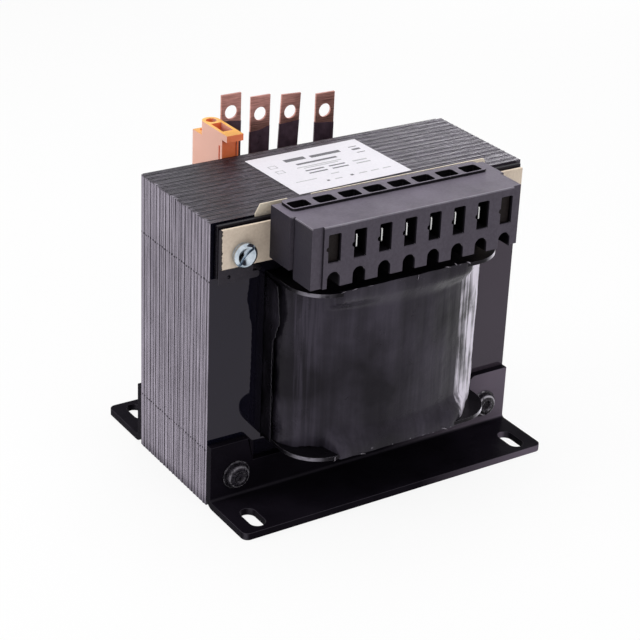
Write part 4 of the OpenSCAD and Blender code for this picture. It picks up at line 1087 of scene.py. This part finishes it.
def makeTabRow():
    low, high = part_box("terminal_tabs")
    tall, length, tip = tabBlade["halfTall"], tabBlade["length"], tabBlade["tipCut"]
    outline = [(length, -tall), (length, tall)]
    for step in range(tabBlade["steps"] + 1):
        angle = math.pi / 2 * (1 - step / tabBlade["steps"])
        outline.append((tip - tip * math.cos(angle), tall - tip + tip * math.sin(angle)))
    outline += [(back, -up) for back, up in reversed(outline[2:])]
    half = tabBlade["thickness"] / 2
    shape = loftedShape("bladeShape", [[(side, back, up) for back, up in outline] for side in (-half, half)])
    softenEdges(shape, tabBlade["edge"])
    middle = (low[2] + high[2]) / 2
    places = [(low[0] + half + index * tabBlade["pitch"], low[1], middle) for index in range(tabBlade["count"])]
    repeatShape("tabRow", shape, places, "tab_tin", "terminal_tabs")


labelLayout = {"turn": 1.5, "thickness": 0.00003, "sunk": 0.00002, "marks": {
    # middle across and up the label, width and height in mm
    ("labelBars", "label_ink"): [
        (-8.5, 12.5, 10, 2.8), (6.5, 12, 15, 2.4), (-1, 7, 20, 1.5), (3, -13, 1.4, 1.4), (-9, -13.5, 1.2, 1.2),
        *((across, up, wide, 1) for up in (-0.6, -3.4) for across, wide in ((-7, 9), (4, 8))),
        *((21.5, up, 4, tall) for up, tall in ((13.5, 0.6), (10.6, 1.6), (6.8, 0.6)))],
    ("labelLines", "label_grey"): [
        *((-21.5, up, 3.6, 0.35) for up in (10.2, 7.6, 4.4, 1.8)),
        *((across, up, 0.35, 2.9) for up in (8.9, 3.1) for across in (-23.2, -19.8)),
        *((across, -13, 4, 0.6) for across in (8.5, 14.5, 20.5)),
        (-2, 3.6, 22, 0.6), (-2, 2.2, 17, 0.6), (15.5, -0.6, 7, 1), (15.5, -3.4, 7, 1),
        (-17, -9.5, 10, 0.5), (-2, -8, 4, 0.6), (-4, -13.5, 3.6, 0.6)]}}


def makeLabelMarks():
    low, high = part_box("rating_label")
    middle = Matrix.Translation(((low[0] + high[0]) / 2, (low[1] + high[1]) / 2, high[2]))
    turned = middle @ Matrix.Rotation(math.radians(labelLayout["turn"]), 4, "Z")
    for (pieceName, finishName), marks in labelLayout["marks"].items():
        across, up, wide, deep = ([number / 1000 for number in column] for column in zip(*marks))
        shape = boxMesh(pieceName + "Shape", (-0.5, -0.5, -labelLayout["sunk"]), (0.5, 0.5, labelLayout["thickness"]))
        finish = surfaces[finishName]
        piece = placeShapes(pieceName, shape, [(x, y, 0) for x, y in zip(across, up)], finish, wide=wide, deep=deep)
        piece.data.transform(turned)
        finishPiece(piece, "label_face", finish=finish)


makeFilmFolds()
makeTabRow()
makeLabelMarks()
bevelledCopy("labelSheet", "rating_label", 0.00004, 1)
print("repeated parts placed")

# end

print("scene built")
